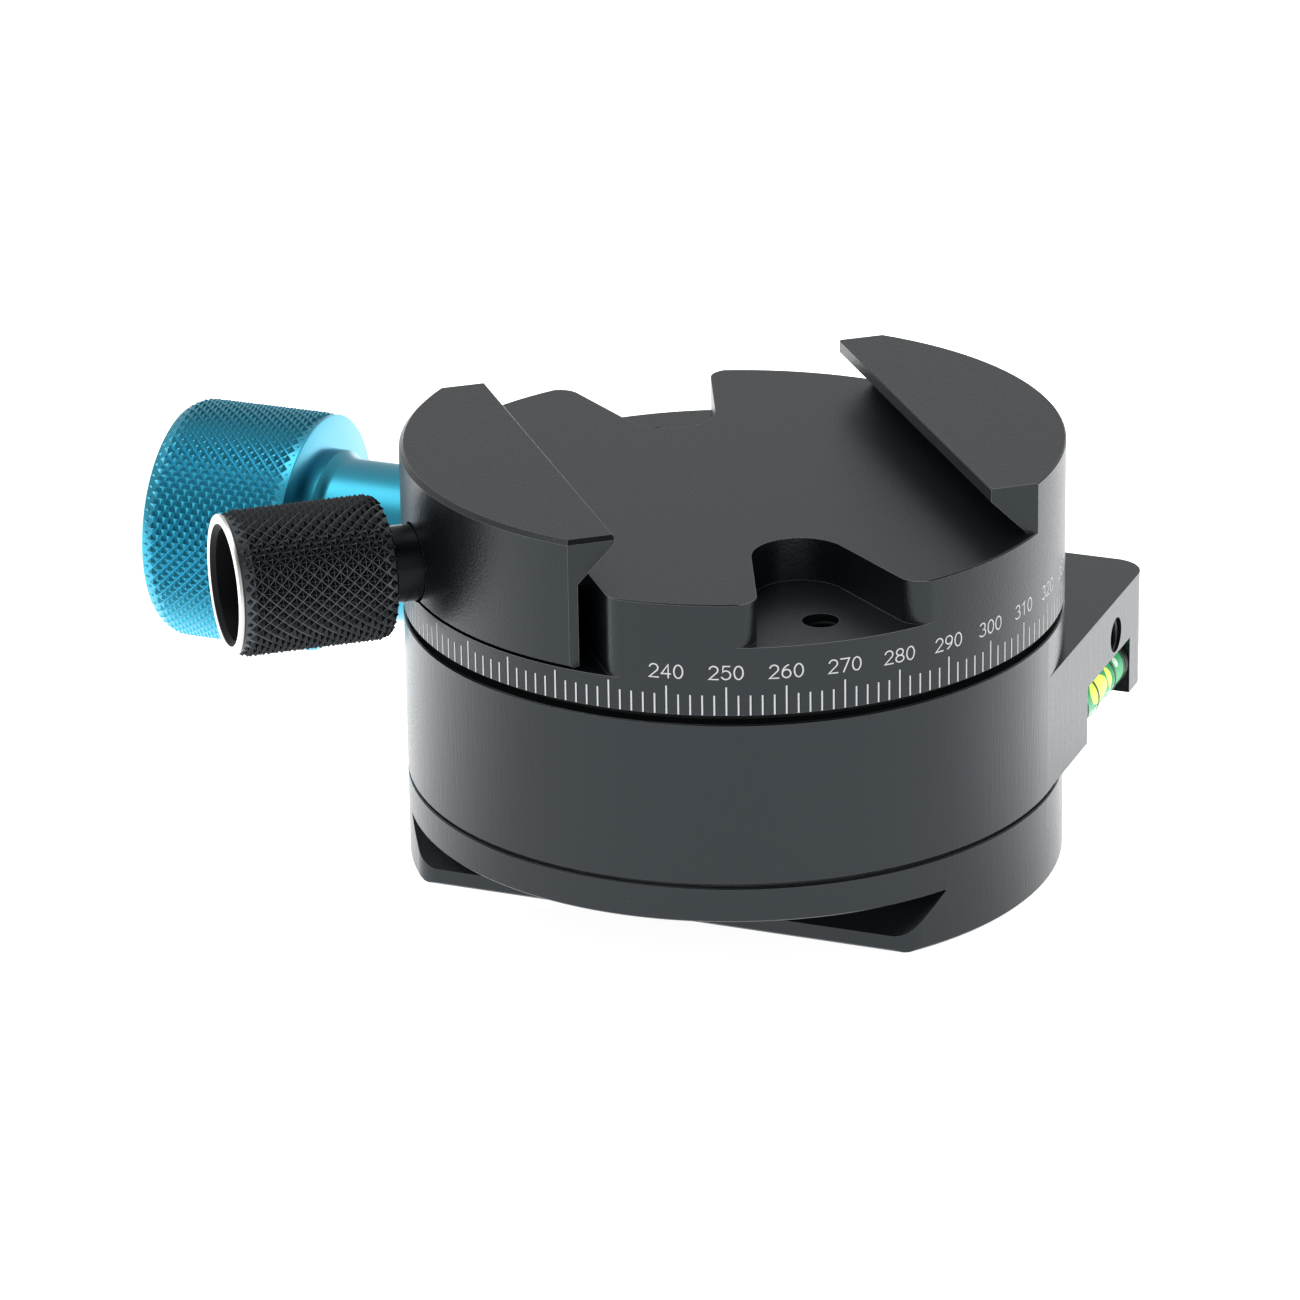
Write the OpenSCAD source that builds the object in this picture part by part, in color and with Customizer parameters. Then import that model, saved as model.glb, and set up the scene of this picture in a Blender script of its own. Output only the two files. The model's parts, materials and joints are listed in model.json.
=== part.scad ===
// Panoramic tripod head: a turning clamp deck on a fixed body with a dovetail foot.
// Millimetres, +Z up. The origin is the centre of the foot's bottom face, at the tripod thread.
// The deck is drawn with its groove along Y and its clamp screw along X.

/* [Whole head] */
// Radius that the foot, the body and the deck share
head_r = 30; // [28:0.5:34]
// Angle of the fixed body under the deck, degrees about Z
base_turn = -38.3; // [-180:0.1:180]
// Bevel on the turned outer edges
edge = 0.2; // [0.1:0.05:0.4]
// Finer bevel on edges that only have their burr taken off
fine_edge = 0.12; // [0.08:0.02:0.2]
// Running clearance on radius between turning or sliding fits
run = 0.05; // [0.03:0.01:0.08]
// Seating clearance between parts that only pass each other
pass = 0.3; // [0.2:0.05:0.35]

/* [Dovetail foot] */
// Width over the foot's widest edges
foot_w = 38; // [37:0.5:39]
// Height of the upright land under the slope
foot_land = 1.5; // [1.2:0.1:2.4]
// Height of the dovetail up to the ring above it
foot_h = 5.05; // [4.6:0.05:5.4]
// Rounding of the foot's upright corners
foot_corner_r = 3; // [1:0.5:4]
// Height of the ring that joins the foot to the body
ring_h = 3.25; // [3:0.05:4]
// Height of the parting groove over the ring
seam_h = 0.3; // [0.2:0.05:0.5]
// Depth of the parting groove
seam_depth = 0.4; // [0.2:0.1:0.6]
// Depth of the recess in the foot's top for the retaining plate
base_recess = 1.4; // [1.2:0.1:1.8]

/* [Tripod bush] */
// Radius of the threaded hole's wall, for a 3/8 inch tripod screw
tripod_r = 3.99; // [3.9:0.01:4.1]
// Radius of the bush
bush_r = 6.5; // [6:0.5:7.5]
// Radius of the bush's inner flange
bush_flange_r = 8.5; // [8:0.5:10]
// Height of that flange
bush_flange_h = 1.2; // [1:0.1:2]

/* [Body] */
// Height of the fixed body
body_h = 15.2; // [15:0.1:18]
// Radius of the turning spindle's journal
spindle_r = 18; // [17.5:0.1:18.1]
// Height of the body's shoulder above the body's bottom
shoulder_h = 3.1; // [3:0.05:3.3]
// How far the retaining plate stands out past the spindle
plate_rim = 3.8; // [3.2:0.1:4]
// Thickness of the retaining plate
plate_t = 2; // [1.6:0.1:2.1]
// Radial gap round the retaining plate
plate_play = 0.5; // [0.3:0.1:0.7]
// Wall of the skirt that centres the body in the foot
skirt_wall = 1; // [0.8:0.1:1.2]
// Depth of that skirt below the body
skirt_h = 0.9; // [0.6:0.1:1]
// Thickness of the lower thrust washer
lower_washer_t = 1; // [0.8:0.1:1.1]
// Thickness of the wave washer's sheet
wave_t = 0.3; // [0.2:0.05:0.35]
// How far the wave washer stays inside the ring it lies in
wave_inset = 0.2; // [0.1:0.05:0.3]
// Radial gap round the spindle inside the washers
washer_gap = 0.25; // [0.2:0.05:0.4]
// Inner radius of the upper thrust washer
upper_washer_ri = 20; // [19:0.5:24]
// Outer radius of the upper thrust washer
upper_washer_ro = 28.6; // [27:0.1:29]
// Height of the open gap between the body and the deck
gap_h = 0.8; // [0.6:0.1:1]

/* [Level block] */
// How far the level block's end face stands out past the round body
block_reach = 0.3; // [0.1:0.1:2]
// Height of the block's top above the body's bottom
block_h = 11.2; // [11:0.1:12]
// Height of the block's underside above the body's bottom
block_lift = 0.2; // [0:0.1:0.4]
// Rounding of the block's upright corner
block_corner_r = 3; // [2:0.5:4]
// Near end of the vial notch
notch_y0 = 11.9; // [11.4:0.1:12.4]
// Length of the vial notch
notch_len = 12.9; // [12.4:0.1:13.2]
// Depth of the vial notch from the near face
notch_depth = 5.1; // [5:0.1:5.3]
// Height of the notch's ceiling above the body's bottom
notch_h = 5.75; // [5.6:0.05:5.85]
// Radius of the level vial
vial_r = 2.35; // [2.1:0.05:2.4]
// Wall of the vial's glass
vial_wall = 0.45; // [0.3:0.05:0.6]
// Thickness of the vial's end caps
cap_t = 0.8; // [0.6:0.1:1.2]
// Gap between the vial and the notch behind and above it
vial_gap = 0.3; // [0.2:0.05:0.4]
// Length of the bubble
bubble_len = 4.6; // [3.6:0.1:5.4]
// Depth of the bubble
bubble_r = 1.2; // [0.8:0.1:1.4]

/* [Pan lock] */
// How far the lock cotter reaches in over the spindle's side
lock_bite = 1; // [0.7:0.1:1.1]
// Height of the lock screw above the body's bottom
lock_h = 7.7; // [7.65:0.01:7.75]
// Radius of the lock cotter
cotter_r = 3.4; // [3.3:0.05:3.5]
// Radius of the lock screw
lock_screw_r = 2; // [1.8:0.1:2]
// Depth of the lock knob's nose in the body
lock_seat = 8; // [6:0.5:9]
// Length of the lock cotter
cotter_len = 23.2; // [22.2:0.2:24.6]
// Depth of the cotter's bore past its inner end
cotter_room = 6; // [5:0.5:7]
// Thickness of the washer between the lock knob and the cotter
lock_washer_t = 0.8; // [0.6:0.1:1]
// Radius of the round boss
boss_r = 7.45; // [7:0.05:7.5]
// Travel of the lock knob from free to locked
lock_travel = 0.4; // [0.2:0.1:0.6]
// Gap between the free lock knob and the boss it faces
lock_gap = 1; // [0.8:0.1:1.2]
// Length of the lock knob's neck with its collar
lock_neck_len = 18.7; // [18.5:0.1:23]
// Length of the lock knob's grip
lock_grip_len = 14.8; // [10:0.2:18]
// Radius of the lock knob's grip
lock_grip_r = 11.6; // [10.5:0.1:12]
// Radius of the lock knob's neck
lock_neck_r = 7.5; // [7:0.1:7.6]
// Length of the collar between grip and neck
lock_collar_len = 1.4; // [1:0.1:2]
// Width of the rim round the knob's outer face
lock_rim = 2.6; // [1.6:0.2:4]
// Depth of the knob's outer face inside its rim
face_depth = 0.6; // [0.3:0.1:1]
// Bevel on the clamp grip's inner edge and on the lock grip's outer edge
grip_bevel = 0.6; // [0.4:0.1:0.8]
// How far the collar stands out round the neck
lock_collar_rise = 0.7; // [0.4:0.1:0.9]
// Metal between the lock screw's end and the knob's outer face
lock_cap = 7; // [5:0.5:9]
// Length of thread that the lock screw has in the body when free
lock_thread_len = 17.6; // [15:0.2:18]

/* [Deck] */
// Height of the scale rim, up to the ledge under the sliding jaw
rim_h = 3.1; // [2.9:0.1:3.4]
// Height of the platform above the deck's underside
platform_h = 10.4; // [10.2:0.1:11]
// Edge of the platform that faces the sliding jaw
platform_edge = 18.8; // [18.4:0.1:19]
// Depth of the two pockets below the platform
pocket_depth = 4; // [3.5:0.1:4.2]
// Distance of each pocket's round end from the middle
pocket_y = 19.35; // [19:0.05:20]
// Radius of each pocket's round end
pocket_r = 4.3; // [4:0.1:4.6]
// Angle by which each pocket wall opens outwards
pocket_flare = 15; // [10:1:18]
// Rounding of the pocket corners at the rim
pocket_corner_r = 2; // [1:0.5:2.5]
// Rounding of the platform's two upright corners at the ledge
platform_corner_r = 2; // [1:0.25:2.5]
// Distance of each pocket's screw hole from the middle
pocket_hole_y = 24.9; // [24.5:0.1:25.5]
// Wall radius of the small threaded holes
m4_hole_r = 1.65; // [1.6:0.05:1.7]
// Depth of the pocket holes
pocket_hole_depth = 4.8; // [4:0.1:5]

/* [Clamp jaws] */
// Height of both jaws above the platform
jaw_rise = 4.6; // [4.4:0.1:5]
// Foot of the fixed jaw's slope
fixed_root = 20.6; // [20:0.1:21]
// Inner face of the sliding jaw at rest
jaw_root = 20.75; // [20.7:0.05:21.2]
// Reach of each jaw's lip over the plate
lip = 3.4; // [3:0.05:3.6]
// Height of the sliding jaw's slope above the platform
slope_lift = 0.5; // [0.3:0.1:0.6]
// Half length of the fixed jaw
fixed_half = 20.8; // [20:0.1:21.5]
// Half length of the sliding jaw
sliding_half = 20.8; // [20:0.1:21]
// Bevel on the sliding jaw's round edge and on the top edges of its ends
jaw_edge = 0.4; // [0.3:0.05:0.5]
// Gap under the sliding jaw
jaw_under = 0.15; // [0.1:0.05:0.25]

/* [Clamp screw] */
// Height of the clamp screw above the deck's underside
screw_h = 6.5; // [6.3:0.1:6.7]
// Radius of the clamp screw
screw_r = 2.5; // [2:0.1:2.6]
// Inner tip of the clamp screw, from the middle
screw_tip = 6; // [5.5:0.5:9]
// Radius of the clamp knob's stem
stem_r = 3.45; // [3.3:0.05:3.5]
// Depth of the stem's seat in the sliding jaw
stem_seat = 4.6; // [4:0.1:5]
// Thickness of the washer under the stem
stem_washer_t = 0.6; // [0.5:0.1:0.8]
// Gap between the sliding jaw's round back and the clamp knob's grip
grip_gap = 2.7; // [2.3:0.1:3.5]
// Length of the clamp knob's grip
grip_len = 14.6; // [12:0.1:16]
// Radius of the clamp knob's grip
grip_r = 6.6; // [6.2:0.1:6.7]
// Radius of the hollow in the clamp knob
hollow_r = 5.05; // [4.6:0.05:5.2]
// Depth of that hollow
hollow_len = 10.5; // [8:0.5:11]
// Closing travel of the sliding jaw
close_travel = 1.75; // [1.4:0.05:1.75]
// Radial gap round the stem and the screw in the sliding jaw
jaw_play = 0.2; // [0.1:0.05:0.3]
// Room past the clamp screw's tip when the jaw is closed
screw_room = 1.2; // [0.8:0.1:1.6]

/* [Guides and springs] */
// Distance of each guide pin from the clamp screw
pin_y = 9; // [8.5:0.5:9.5]
// Radius of the guide pins
pin_r = 1.5; // [1.3:0.1:1.6]
// Depth of the pins in the deck
pin_seat = 8; // [7:0.5:9]
// Depth of the pin bores in the sliding jaw
pin_bore = 6; // [5.6:0.1:6.1]
// Radius of the springs' wire
wire_r = 0.3; // [0.25:0.05:0.35]
// Mean radius of the springs
coil_r = 2.2; // [2.1:0.1:2.4]
// Flat-lying part of a turn at each end of a spring
coil_dead = 0.75; // [0.5:0.05:0.9]
// Turns in each spring
coil_turns = 5; // [4:1:6]
// Depth of the spring seats in the deck
spring_seat = 4; // [3:0.5:5]
// Radial gap round the springs in their seats
spring_play = 0.25; // [0.2:0.05:0.4]

/* [Fasteners] */
// Radius of the small screws' threads
m3_r = 1.5; // [1.4:0.1:1.5]
// Radius of the small screws' heads
m3_head_r = 2.75; // [2.6:0.05:2.8]
// Height of the small screws' heads
m3_head_h = 3; // [2.6:0.1:3]
// Width across the flats of the heads' hexagon sockets
m3_hex = 2.5; // [2:0.1:2.6]
// Width across the flats of the sunk heads' hexagon sockets
sunk_hex = 2; // [1.6:0.1:2]
// Radial gap round screws in their plain holes
screw_play = 0.1; // [0.1:0.05:0.2]
// Radial gap round the screw heads in their seats
head_play = 0.2; // [0.15:0.05:0.25]
// How far the foot's screw heads are sunk below its face
head_sink = 0.4; // [0.2:0.1:0.8]
// Room past the tips of the screws in their blind holes
tip_room = 0.4; // [0.2:0.1:0.6]
// Length of the retaining plate's screws in the spindle
plate_screw_grip = 5.5; // [4:0.5:7]
// Distance of the foot's screws from the middle
base_screw_pcr = 26.3; // [26.2:0.1:26.6]
// Angle of the foot's screws from its long middle line
base_screw_angle = 15; // [12:1:17]
// Length of the foot's screws in the body
base_screw_grip = 6.5; // [5:0.5:7]
// Distance of the spindle's screws from the middle
spindle_pcr = 14; // [13.8:0.1:14.2]
// Length of the spindle screws in the deck
spindle_screw_grip = 4.2; // [3.5:0.1:4.4]
// Height of the spindle screw heads' seat below the deck
spindle_seat = 4.6; // [4:0.1:6]
// Radius of the spindle's centring spigot
spigot_r = 10; // [8:0.5:10]
// Height of the spindle's centring spigot
spigot_h = 1.8; // [1:0.1:2]
// Radius of the hole through the spindle and its plate
core_r = 6; // [5:0.5:7]

/* [Hidden] */
$fn = 96;
eps = 0.01;
far = 100;

// Levels, from the foot's bottom face upwards
body_z = foot_h + ring_h + seam_h;
body_top = body_z + body_h;
deck_z = body_top + gap_h;
ledge_z = deck_z + rim_h;
platform_z = deck_z + platform_h;
pocket_z = platform_z - pocket_depth;
jaw_top = platform_z + jaw_rise;
screw_z = deck_z + screw_h;
lock_z = body_z + lock_h;
recess_z = body_z - base_recess;
shoulder_z = body_z + shoulder_h;
plate_r = spindle_r + plate_rim;
plate_z = recess_z + pass;
plate_top = plate_z + plate_t;
seat_z = deck_z - spindle_seat;
skirt_r = plate_r + plate_play + skirt_wall;
block_y = head_r + block_reach;

// Clamp stations along X
jaw_seat_x = -(head_r - stem_seat);
stem_end_x = jaw_seat_x - stem_washer_t;
spring_x = -(platform_edge - spring_seat);
pin_tip_x = -(jaw_root + pin_bore - close_travel - jaw_play);
grip_x = head_r + grip_gap;
grip_end = grip_x + grip_len;

// Lock stations along the fixed body's own -X
lock_y = spindle_r + cotter_r - lock_bite;
boss_x = head_r;
neck_end = boss_x + lock_gap;
lock_grip_x = neck_end + lock_neck_len;
nose_end = boss_x - lock_seat;
cotter_out = nose_end - lock_washer_t;
cotter_in = cotter_out - cotter_len;
lock_thread_x = cotter_room - cotter_in;
lock_screw_end = lock_thread_x + lock_thread_len;
lock_end = lock_grip_x + lock_grip_len;
lock_screw_head = lock_end - lock_cap;

// Sunk heads of the plate screws, a cone of 90 degrees
sunk_r = 2 * m3_r;
sunk_h = sunk_r - m3_r;

module along_x(x0, x1, r, y = 0, z = 0) {
    translate([min(x0, x1), y, z])
        rotate([0, 90, 0])
            cylinder(h = abs(x1 - x0), r = r);
}

module ring(z, h, ri, ro) {
    translate([0, 0, z])
        difference() {
            cylinder(h = h, r = ro);
            translate([0, 0, -1]) cylinder(h = h + 2, r = ri);
        }
}

// A round disc with bevelled edges, from z0 to z1
module disc(z0, z1, r, low = 0, high = 0) {
    rotate_extrude($fn = 180)
        polygon([[0, z0], [r - low, z0], [r, z0 + low], [r, z1 - high], [r - high, z1], [0, z1]]);
}

// What a rounded corner of radius c loses where a straight wall leaves the round rim.
// foot is a point of the wall, out its direction to the rim and inward the side with metal.
module rim_corner(foot, out, inward, c) {
    a = foot + c * inward;
    b = a * out;
    t = -b + sqrt(b * b - a * a + pow(head_r - c, 2));
    mid = a + t * out;
    on_wall = mid - c * inward;
    on_rim = mid * head_r / norm(mid);
    difference() {
        polygon([mid, on_wall, on_wall + 2 * c * out, on_rim * 1.08 + 0.2 * c * out, on_rim * 1.04,
                 on_rim]);
        translate(mid) circle(r = c);
    }
}

// A socket head screw that points up, with its head's underside at z = 0
module socket_screw(length) {
    difference() {
        union() {
            cylinder(h = length, r = m3_r, $fn = 48);
            translate([0, 0, -m3_head_h]) cylinder(h = m3_head_h, r = m3_head_r, $fn = 48);
        }
        translate([0, 0, -m3_head_h - 1])
            cylinder(h = 1 + m3_head_h * 0.6, r = m3_hex / sqrt(3), $fn = 6);
    }
}

module at_ring(r, angles) {
    for (a = angles)
        rotate([0, 0, a]) translate([r, 0, 0]) rotate([0, 0, -a]) children();
}

foot_angles = [base_screw_angle, 180 - base_screw_angle, 180 + base_screw_angle, -base_screw_angle];
spindle_angles = [45, 135, 225, 315];
plate_angles = [0, 90, 180, 270];

/* ---------- turning deck ---------- */

module jaw_profile(root, slope_z, lean) {
    tip = root - lip;
    top = jaw_top;
    polygon([[root, lean], [root, slope_z], [tip, slope_z + lip], [tip, top - fine_edge],
             [tip + fine_edge, top], [far, top], [far, lean]]);
}

module pocket_outline() {
    wall_n = [cos(pocket_flare), sin(pocket_flare)];
    wall_u = [sin(pocket_flare), -cos(pocket_flare)];
    foot = [0, -pocket_y] + pocket_r * wall_n;
    reach = head_r;
    circle_c = [0, -pocket_y];
    translate(circle_c) circle(r = pocket_r);
    polygon([circle_c, foot, foot + reach * wall_u,
             [-foot[0] - reach * wall_u[0], foot[1] + reach * wall_u[1]], [-foot[0], foot[1]]]);
    for (side = [0, 1]) mirror([side, 0]) rim_corner(foot, wall_u, wall_n, pocket_corner_r);
}

module pockets() {
    for (side = [0, 1])
        mirror([0, side, 0])
            translate([0, 0, pocket_z]) linear_extrude(far) pocket_outline();
}

module clamp_deck() color([0.15, 0.15, 0.16]) {
    edge_y = sqrt(head_r * head_r - platform_edge * platform_edge);
    difference() {
        union() {
            disc(deck_z, platform_z, head_r, fine_edge, fine_edge);
            intersection() {
                disc(deck_z + 1, jaw_top, head_r, 0, fine_edge);
                translate([0, fixed_half, 0]) rotate([90, 0, 0])
                    linear_extrude(2 * fixed_half) jaw_profile(fixed_root, platform_z, deck_z + 1);
            }
        }
        translate([-far - platform_edge, -far, ledge_z]) cube([far, 2 * far, far]);
        for (side = [0, 1]) mirror([0, side, 0])
            translate([0, 0, ledge_z]) linear_extrude(far)
                rim_corner([-platform_edge, -edge_y], [0, -1], [1, 0], platform_corner_r);
        pockets();
        for (side = [-1, 1]) {
            translate([0, side * pocket_hole_y, pocket_z - pocket_hole_depth])
                cylinder(h = far, r = m4_hole_r);
            along_x(-far, -platform_edge + pin_seat, pin_r, side * pin_y, screw_z);
            along_x(-far, spring_x, coil_r + wire_r + spring_play, side * pin_y, screw_z);
        }
        along_x(-far, -screw_tip + close_travel + screw_room, screw_r + run, 0, screw_z);
        along_x(-far, jaw_seat_x + close_travel + jaw_play, stem_r + jaw_play, 0, screw_z);
        translate([0, 0, deck_z - 1]) cylinder(h = 1 + spigot_h + run, r = spigot_r + run);
        at_ring(spindle_pcr, spindle_angles)
            translate([0, 0, deck_z - 1]) cylinder(h = 1 + spindle_screw_grip + tip_room, r = m3_r);
    }
}

// Keeps what lies between two ends along Y, with a bevel on their top edges
module bevelled_ends(half, bevel)
    rotate([90, 0, 90]) translate([0, 0, -far]) linear_extrude(2 * far)
        polygon([[-half, 0], [half, 0], [half, jaw_top - bevel], [half - bevel, jaw_top],
                 [-half + bevel, jaw_top], [-half, jaw_top - bevel]]);

module sliding_jaw() color([0.15, 0.15, 0.16])
    difference() {
        intersection() {
            disc(ledge_z + jaw_under, jaw_top, head_r, edge, jaw_edge);
            mirror([1, 0, 0]) translate([0, sliding_half, 0]) rotate([90, 0, 0])
                linear_extrude(2 * sliding_half)
                    jaw_profile(jaw_root, platform_z + slope_lift, ledge_z);
            bevelled_ends(sliding_half, jaw_edge);
        }
        along_x(-far, 0, screw_r + jaw_play, 0, screw_z);
        along_x(-far, jaw_seat_x, stem_r + jaw_play, 0, screw_z);
        for (side = [-1, 1])
            along_x(-jaw_root - pin_bore, 0, pin_r + run, side * pin_y, screw_z);
    }

module clamp_knob() color([0.08, 0.08, 0.09])
    translate([0, 0, screw_z]) rotate([0, -90, 0])
        difference() {
            rotate_extrude($fn = 120)
                polygon([[0, -stem_end_x], [stem_r, -stem_end_x], [stem_r, grip_x],
                         [grip_r - grip_bevel, grip_x], [grip_r, grip_x + grip_bevel],
                         [grip_r, grip_end - edge], [grip_r - edge, grip_end],
                         [hollow_r + edge / 2, grip_end], [hollow_r, grip_end - edge / 2],
                         [hollow_r, grip_end - hollow_len], [0, grip_end - hollow_len]]);
            cylinder(h = grip_end - hollow_len - 1, r = screw_r);
        }

module clamp_screw() color([0.7, 0.7, 0.72])
    along_x(-screw_tip, -(grip_end - hollow_len - 1), screw_r, 0, screw_z);

module clamp_screw_washer() color([0.8, 0.65, 0.3])
    translate([0, 0, screw_z]) rotate([0, -90, 0])
        ring(-jaw_seat_x, stem_washer_t, screw_r + 0.1, stem_r);

module jaw_guide_pins() color([0.7, 0.7, 0.72])
    for (side = [-1, 1])
        along_x(pin_tip_x, -platform_edge + pin_seat, pin_r, side * pin_y, screw_z);

// One open coil along +X with flat-lying ends, as a swept tube of 6 sides
module coil(length) {
    sides = 6;
    per_turn = 16;
    dead = coil_dead;
    dead_lead = 2.1 * wire_r;
    steps = (coil_turns + 2 * dead) * per_turn;
    lead = (length - 2 * wire_r - 2 * dead * dead_lead) / coil_turns;
    function rise(t) = dead_lead * min(t, dead) + lead * max(0, min(t - dead, coil_turns))
                       + dead_lead * max(0, t - dead - coil_turns);
    points = [for (i = [0:steps]) let (t = i / per_turn, a = 360 * t)
              for (k = [0:sides - 1]) let (b = 360 * k / sides)
              [wire_r + rise(t) + wire_r * sin(b),
               (coil_r + wire_r * cos(b)) * cos(a), (coil_r + wire_r * cos(b)) * sin(a)]];
    sides_f = [for (i = [0:steps - 1]) for (k = [0:sides - 1])
               let (n = (k + 1) % sides, a = i * sides + k, b = i * sides + n,
                    c = (i + 1) * sides + k, d = (i + 1) * sides + n)
               each [[a, c, b], [b, c, d]]];
    low = [for (k = [1:sides - 2]) [0, k, k + 1]];
    high = [for (k = [1:sides - 2]) [steps * sides, steps * sides + k + 1, steps * sides + k]];
    polyhedron(points = points, faces = concat(sides_f, low, high));
}

module jaw_springs() color([0.6, 0.6, 0.62])
    for (side = [-1, 1])
        translate([-jaw_root, side * pin_y, screw_z]) coil(jaw_root + spring_x);

module pan_spindle() color([0.55, 0.55, 0.57])
    difference() {
        union() {
            translate([0, 0, plate_top]) cylinder(h = deck_z - plate_top, r = spindle_r);
            translate([0, 0, deck_z - eps]) cylinder(h = spigot_h + eps, r = spigot_r);
        }
        cylinder(h = far, r = core_r);
        at_ring(spindle_pcr, spindle_angles) {
            cylinder(h = seat_z, r = m3_head_r + head_play);
            cylinder(h = far, r = m3_r + screw_play);
        }
        at_ring(spindle_pcr, plate_angles)
            cylinder(h = plate_top + plate_screw_grip + tip_room, r = m3_r);
    }

module spindle_screws() color([0.3, 0.3, 0.32])
    at_ring(spindle_pcr, spindle_angles)
        translate([0, 0, seat_z]) socket_screw(spindle_seat + spindle_screw_grip);

module retaining_plate() color([0.6, 0.6, 0.62])
    difference() {
        ring(plate_z, plate_t, core_r, plate_r);
        at_ring(spindle_pcr, plate_angles) {
            translate([0, 0, plate_z - 1]) cylinder(h = far, r = m3_r + screw_play);
            translate([0, 0, plate_z])
                cylinder(h = sunk_h, r1 = sunk_r + screw_play, r2 = m3_r + screw_play);
        }
    }

module plate_screws() color([0.3, 0.3, 0.32])
    at_ring(spindle_pcr, plate_angles)
        translate([0, 0, plate_z]) difference() {
            union() {
                cylinder(h = sunk_h, r1 = sunk_r, r2 = m3_r);
                cylinder(h = plate_t + plate_screw_grip, r = m3_r);
            }
            translate([0, 0, -1]) cylinder(h = 1 + sunk_h * 0.7, r = sunk_hex / sqrt(3), $fn = 6);
        }

module upper_thrust_washer() color([0.1, 0.1, 0.1])
    ring(body_top, gap_h, upper_washer_ri, upper_washer_ro);

module lower_thrust_washer() color([0.85, 0.83, 0.75])
    ring(shoulder_z - lower_washer_t, lower_washer_t, spindle_r + washer_gap, plate_r);

// A thin ring whose height waves three times round, held between plate and washer
module wave_washer() color([0.6, 0.6, 0.62]) {
    steps = 72;
    room = shoulder_z - lower_washer_t - plate_top;
    thick = wave_t;
    ri = spindle_r + washer_gap + wave_inset;
    ro = plate_r - 2 * wave_inset;
    points = [for (i = [0:steps - 1])
              let (a = 360 * i / steps, z = plate_top + (room - thick) * (0.5 + 0.5 * cos(3 * a)))
              each [[ri * cos(a), ri * sin(a), z], [ro * cos(a), ro * sin(a), z],
                    [ro * cos(a), ro * sin(a), z + thick], [ri * cos(a), ri * sin(a), z + thick]]];
    faces = [for (i = [0:steps - 1]) for (k = [0:3])
             let (j = (i + 1) % steps, n = (k + 1) % 4)
             each [[4 * i + k, 4 * j + k, 4 * i + n], [4 * i + n, 4 * j + k, 4 * j + n]]];
    polyhedron(points = points, faces = faces);
}

/* ---------- fixed body, drawn in its own turned frame ---------- */

module turned() rotate([0, 0, base_turn]) children();

module level_block() {
    translate([0, 0, body_z + block_lift])
        linear_extrude(block_h - block_lift)
            union() {
                square([head_r, block_y - block_corner_r]);
                square([head_r - block_corner_r, block_y]);
                translate([head_r - block_corner_r, block_y - block_corner_r]) circle(r = block_corner_r);
            }
}

module pan_body() color([0.14, 0.14, 0.15])
    turned() difference() {
        union() {
            disc(body_z, body_top, head_r, fine_edge, fine_edge);
            ring(body_z - skirt_h, skirt_h + 1, skirt_r - skirt_wall, skirt_r);
            level_block();
            along_x(0, -boss_x, boss_r, lock_y, lock_z);
        }
        translate([0, 0, shoulder_z - eps]) cylinder(h = far, r = spindle_r + run);
        translate([0, 0, body_z - 2]) cylinder(h = 2 + shoulder_h, r = skirt_r - skirt_wall);
        translate([head_r - notch_depth, notch_y0, 0]) cube([far, notch_len, body_z + notch_h]);
        along_x(-far, lock_thread_x, cotter_r + run, lock_y, lock_z);
        along_x(0, far, m4_hole_r, lock_y, lock_z);
        along_x(0, lock_screw_end + lock_travel + tip_room, lock_screw_r + run, lock_y, lock_z);
        at_ring(base_screw_pcr, foot_angles)
            translate([0, 0, body_z - 1]) cylinder(h = 1 + base_screw_grip + tip_room, r = m3_r);
    }

module dovetail_foot() color([0.14, 0.14, 0.15])
    turned() {
        neck = foot_w / 2 - (foot_h - foot_land);
        difference() {
            union() {
                disc(foot_h, body_z - seam_h, head_r, fine_edge, fine_edge);
                disc(foot_h, body_z, head_r - seam_depth);
                intersection() {
                    disc(0, foot_h + 1, head_r, edge, 0);
                    rotate([90, 0, 90]) translate([0, 0, -far / 2]) linear_extrude(far)
                        polygon([[foot_w / 2 - edge, 0], [foot_w / 2, edge], [foot_w / 2, foot_land],
                                 [neck, foot_h], [neck, foot_h + 1], [-neck, foot_h + 1], [-neck, foot_h],
                                 [-foot_w / 2, foot_land], [-foot_w / 2, edge], [-foot_w / 2 + edge, 0]]);
                    linear_extrude(far) foot_outline();
                }
            }
            translate([0, 0, recess_z]) cylinder(h = far, r = skirt_r + run);
            translate([0, 0, -1]) cylinder(h = far, r = bush_r);
            translate([0, 0, recess_z - bush_flange_h]) cylinder(h = far, r = bush_flange_r);
            at_ring(base_screw_pcr, foot_angles) {
                translate([0, 0, -1]) cylinder(h = far, r = m3_r + screw_play);
                translate([0, 0, -1]) cylinder(h = 1 + head_sink + m3_head_h, r = m3_head_r + head_play);
            }
        }
    }

// The foot seen from above: the round disc cut along two chords, corners rounded
module foot_outline() {
    difference() {
        intersection() {
            circle(r = head_r, $fn = 180);
            square([far, foot_w], center = true);
        }
        for (sx = [0, 1]) for (sy = [0, 1])
            mirror([sx, 0]) mirror([0, sy])
                rim_corner([0, foot_w / 2], [1, 0], [0, -1], foot_corner_r);
    }
}

module foot_screws() color([0.3, 0.3, 0.32])
    turned() at_ring(base_screw_pcr, foot_angles)
        translate([0, 0, head_sink + m3_head_h])
            socket_screw(body_z - head_sink - m3_head_h + base_screw_grip);

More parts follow.
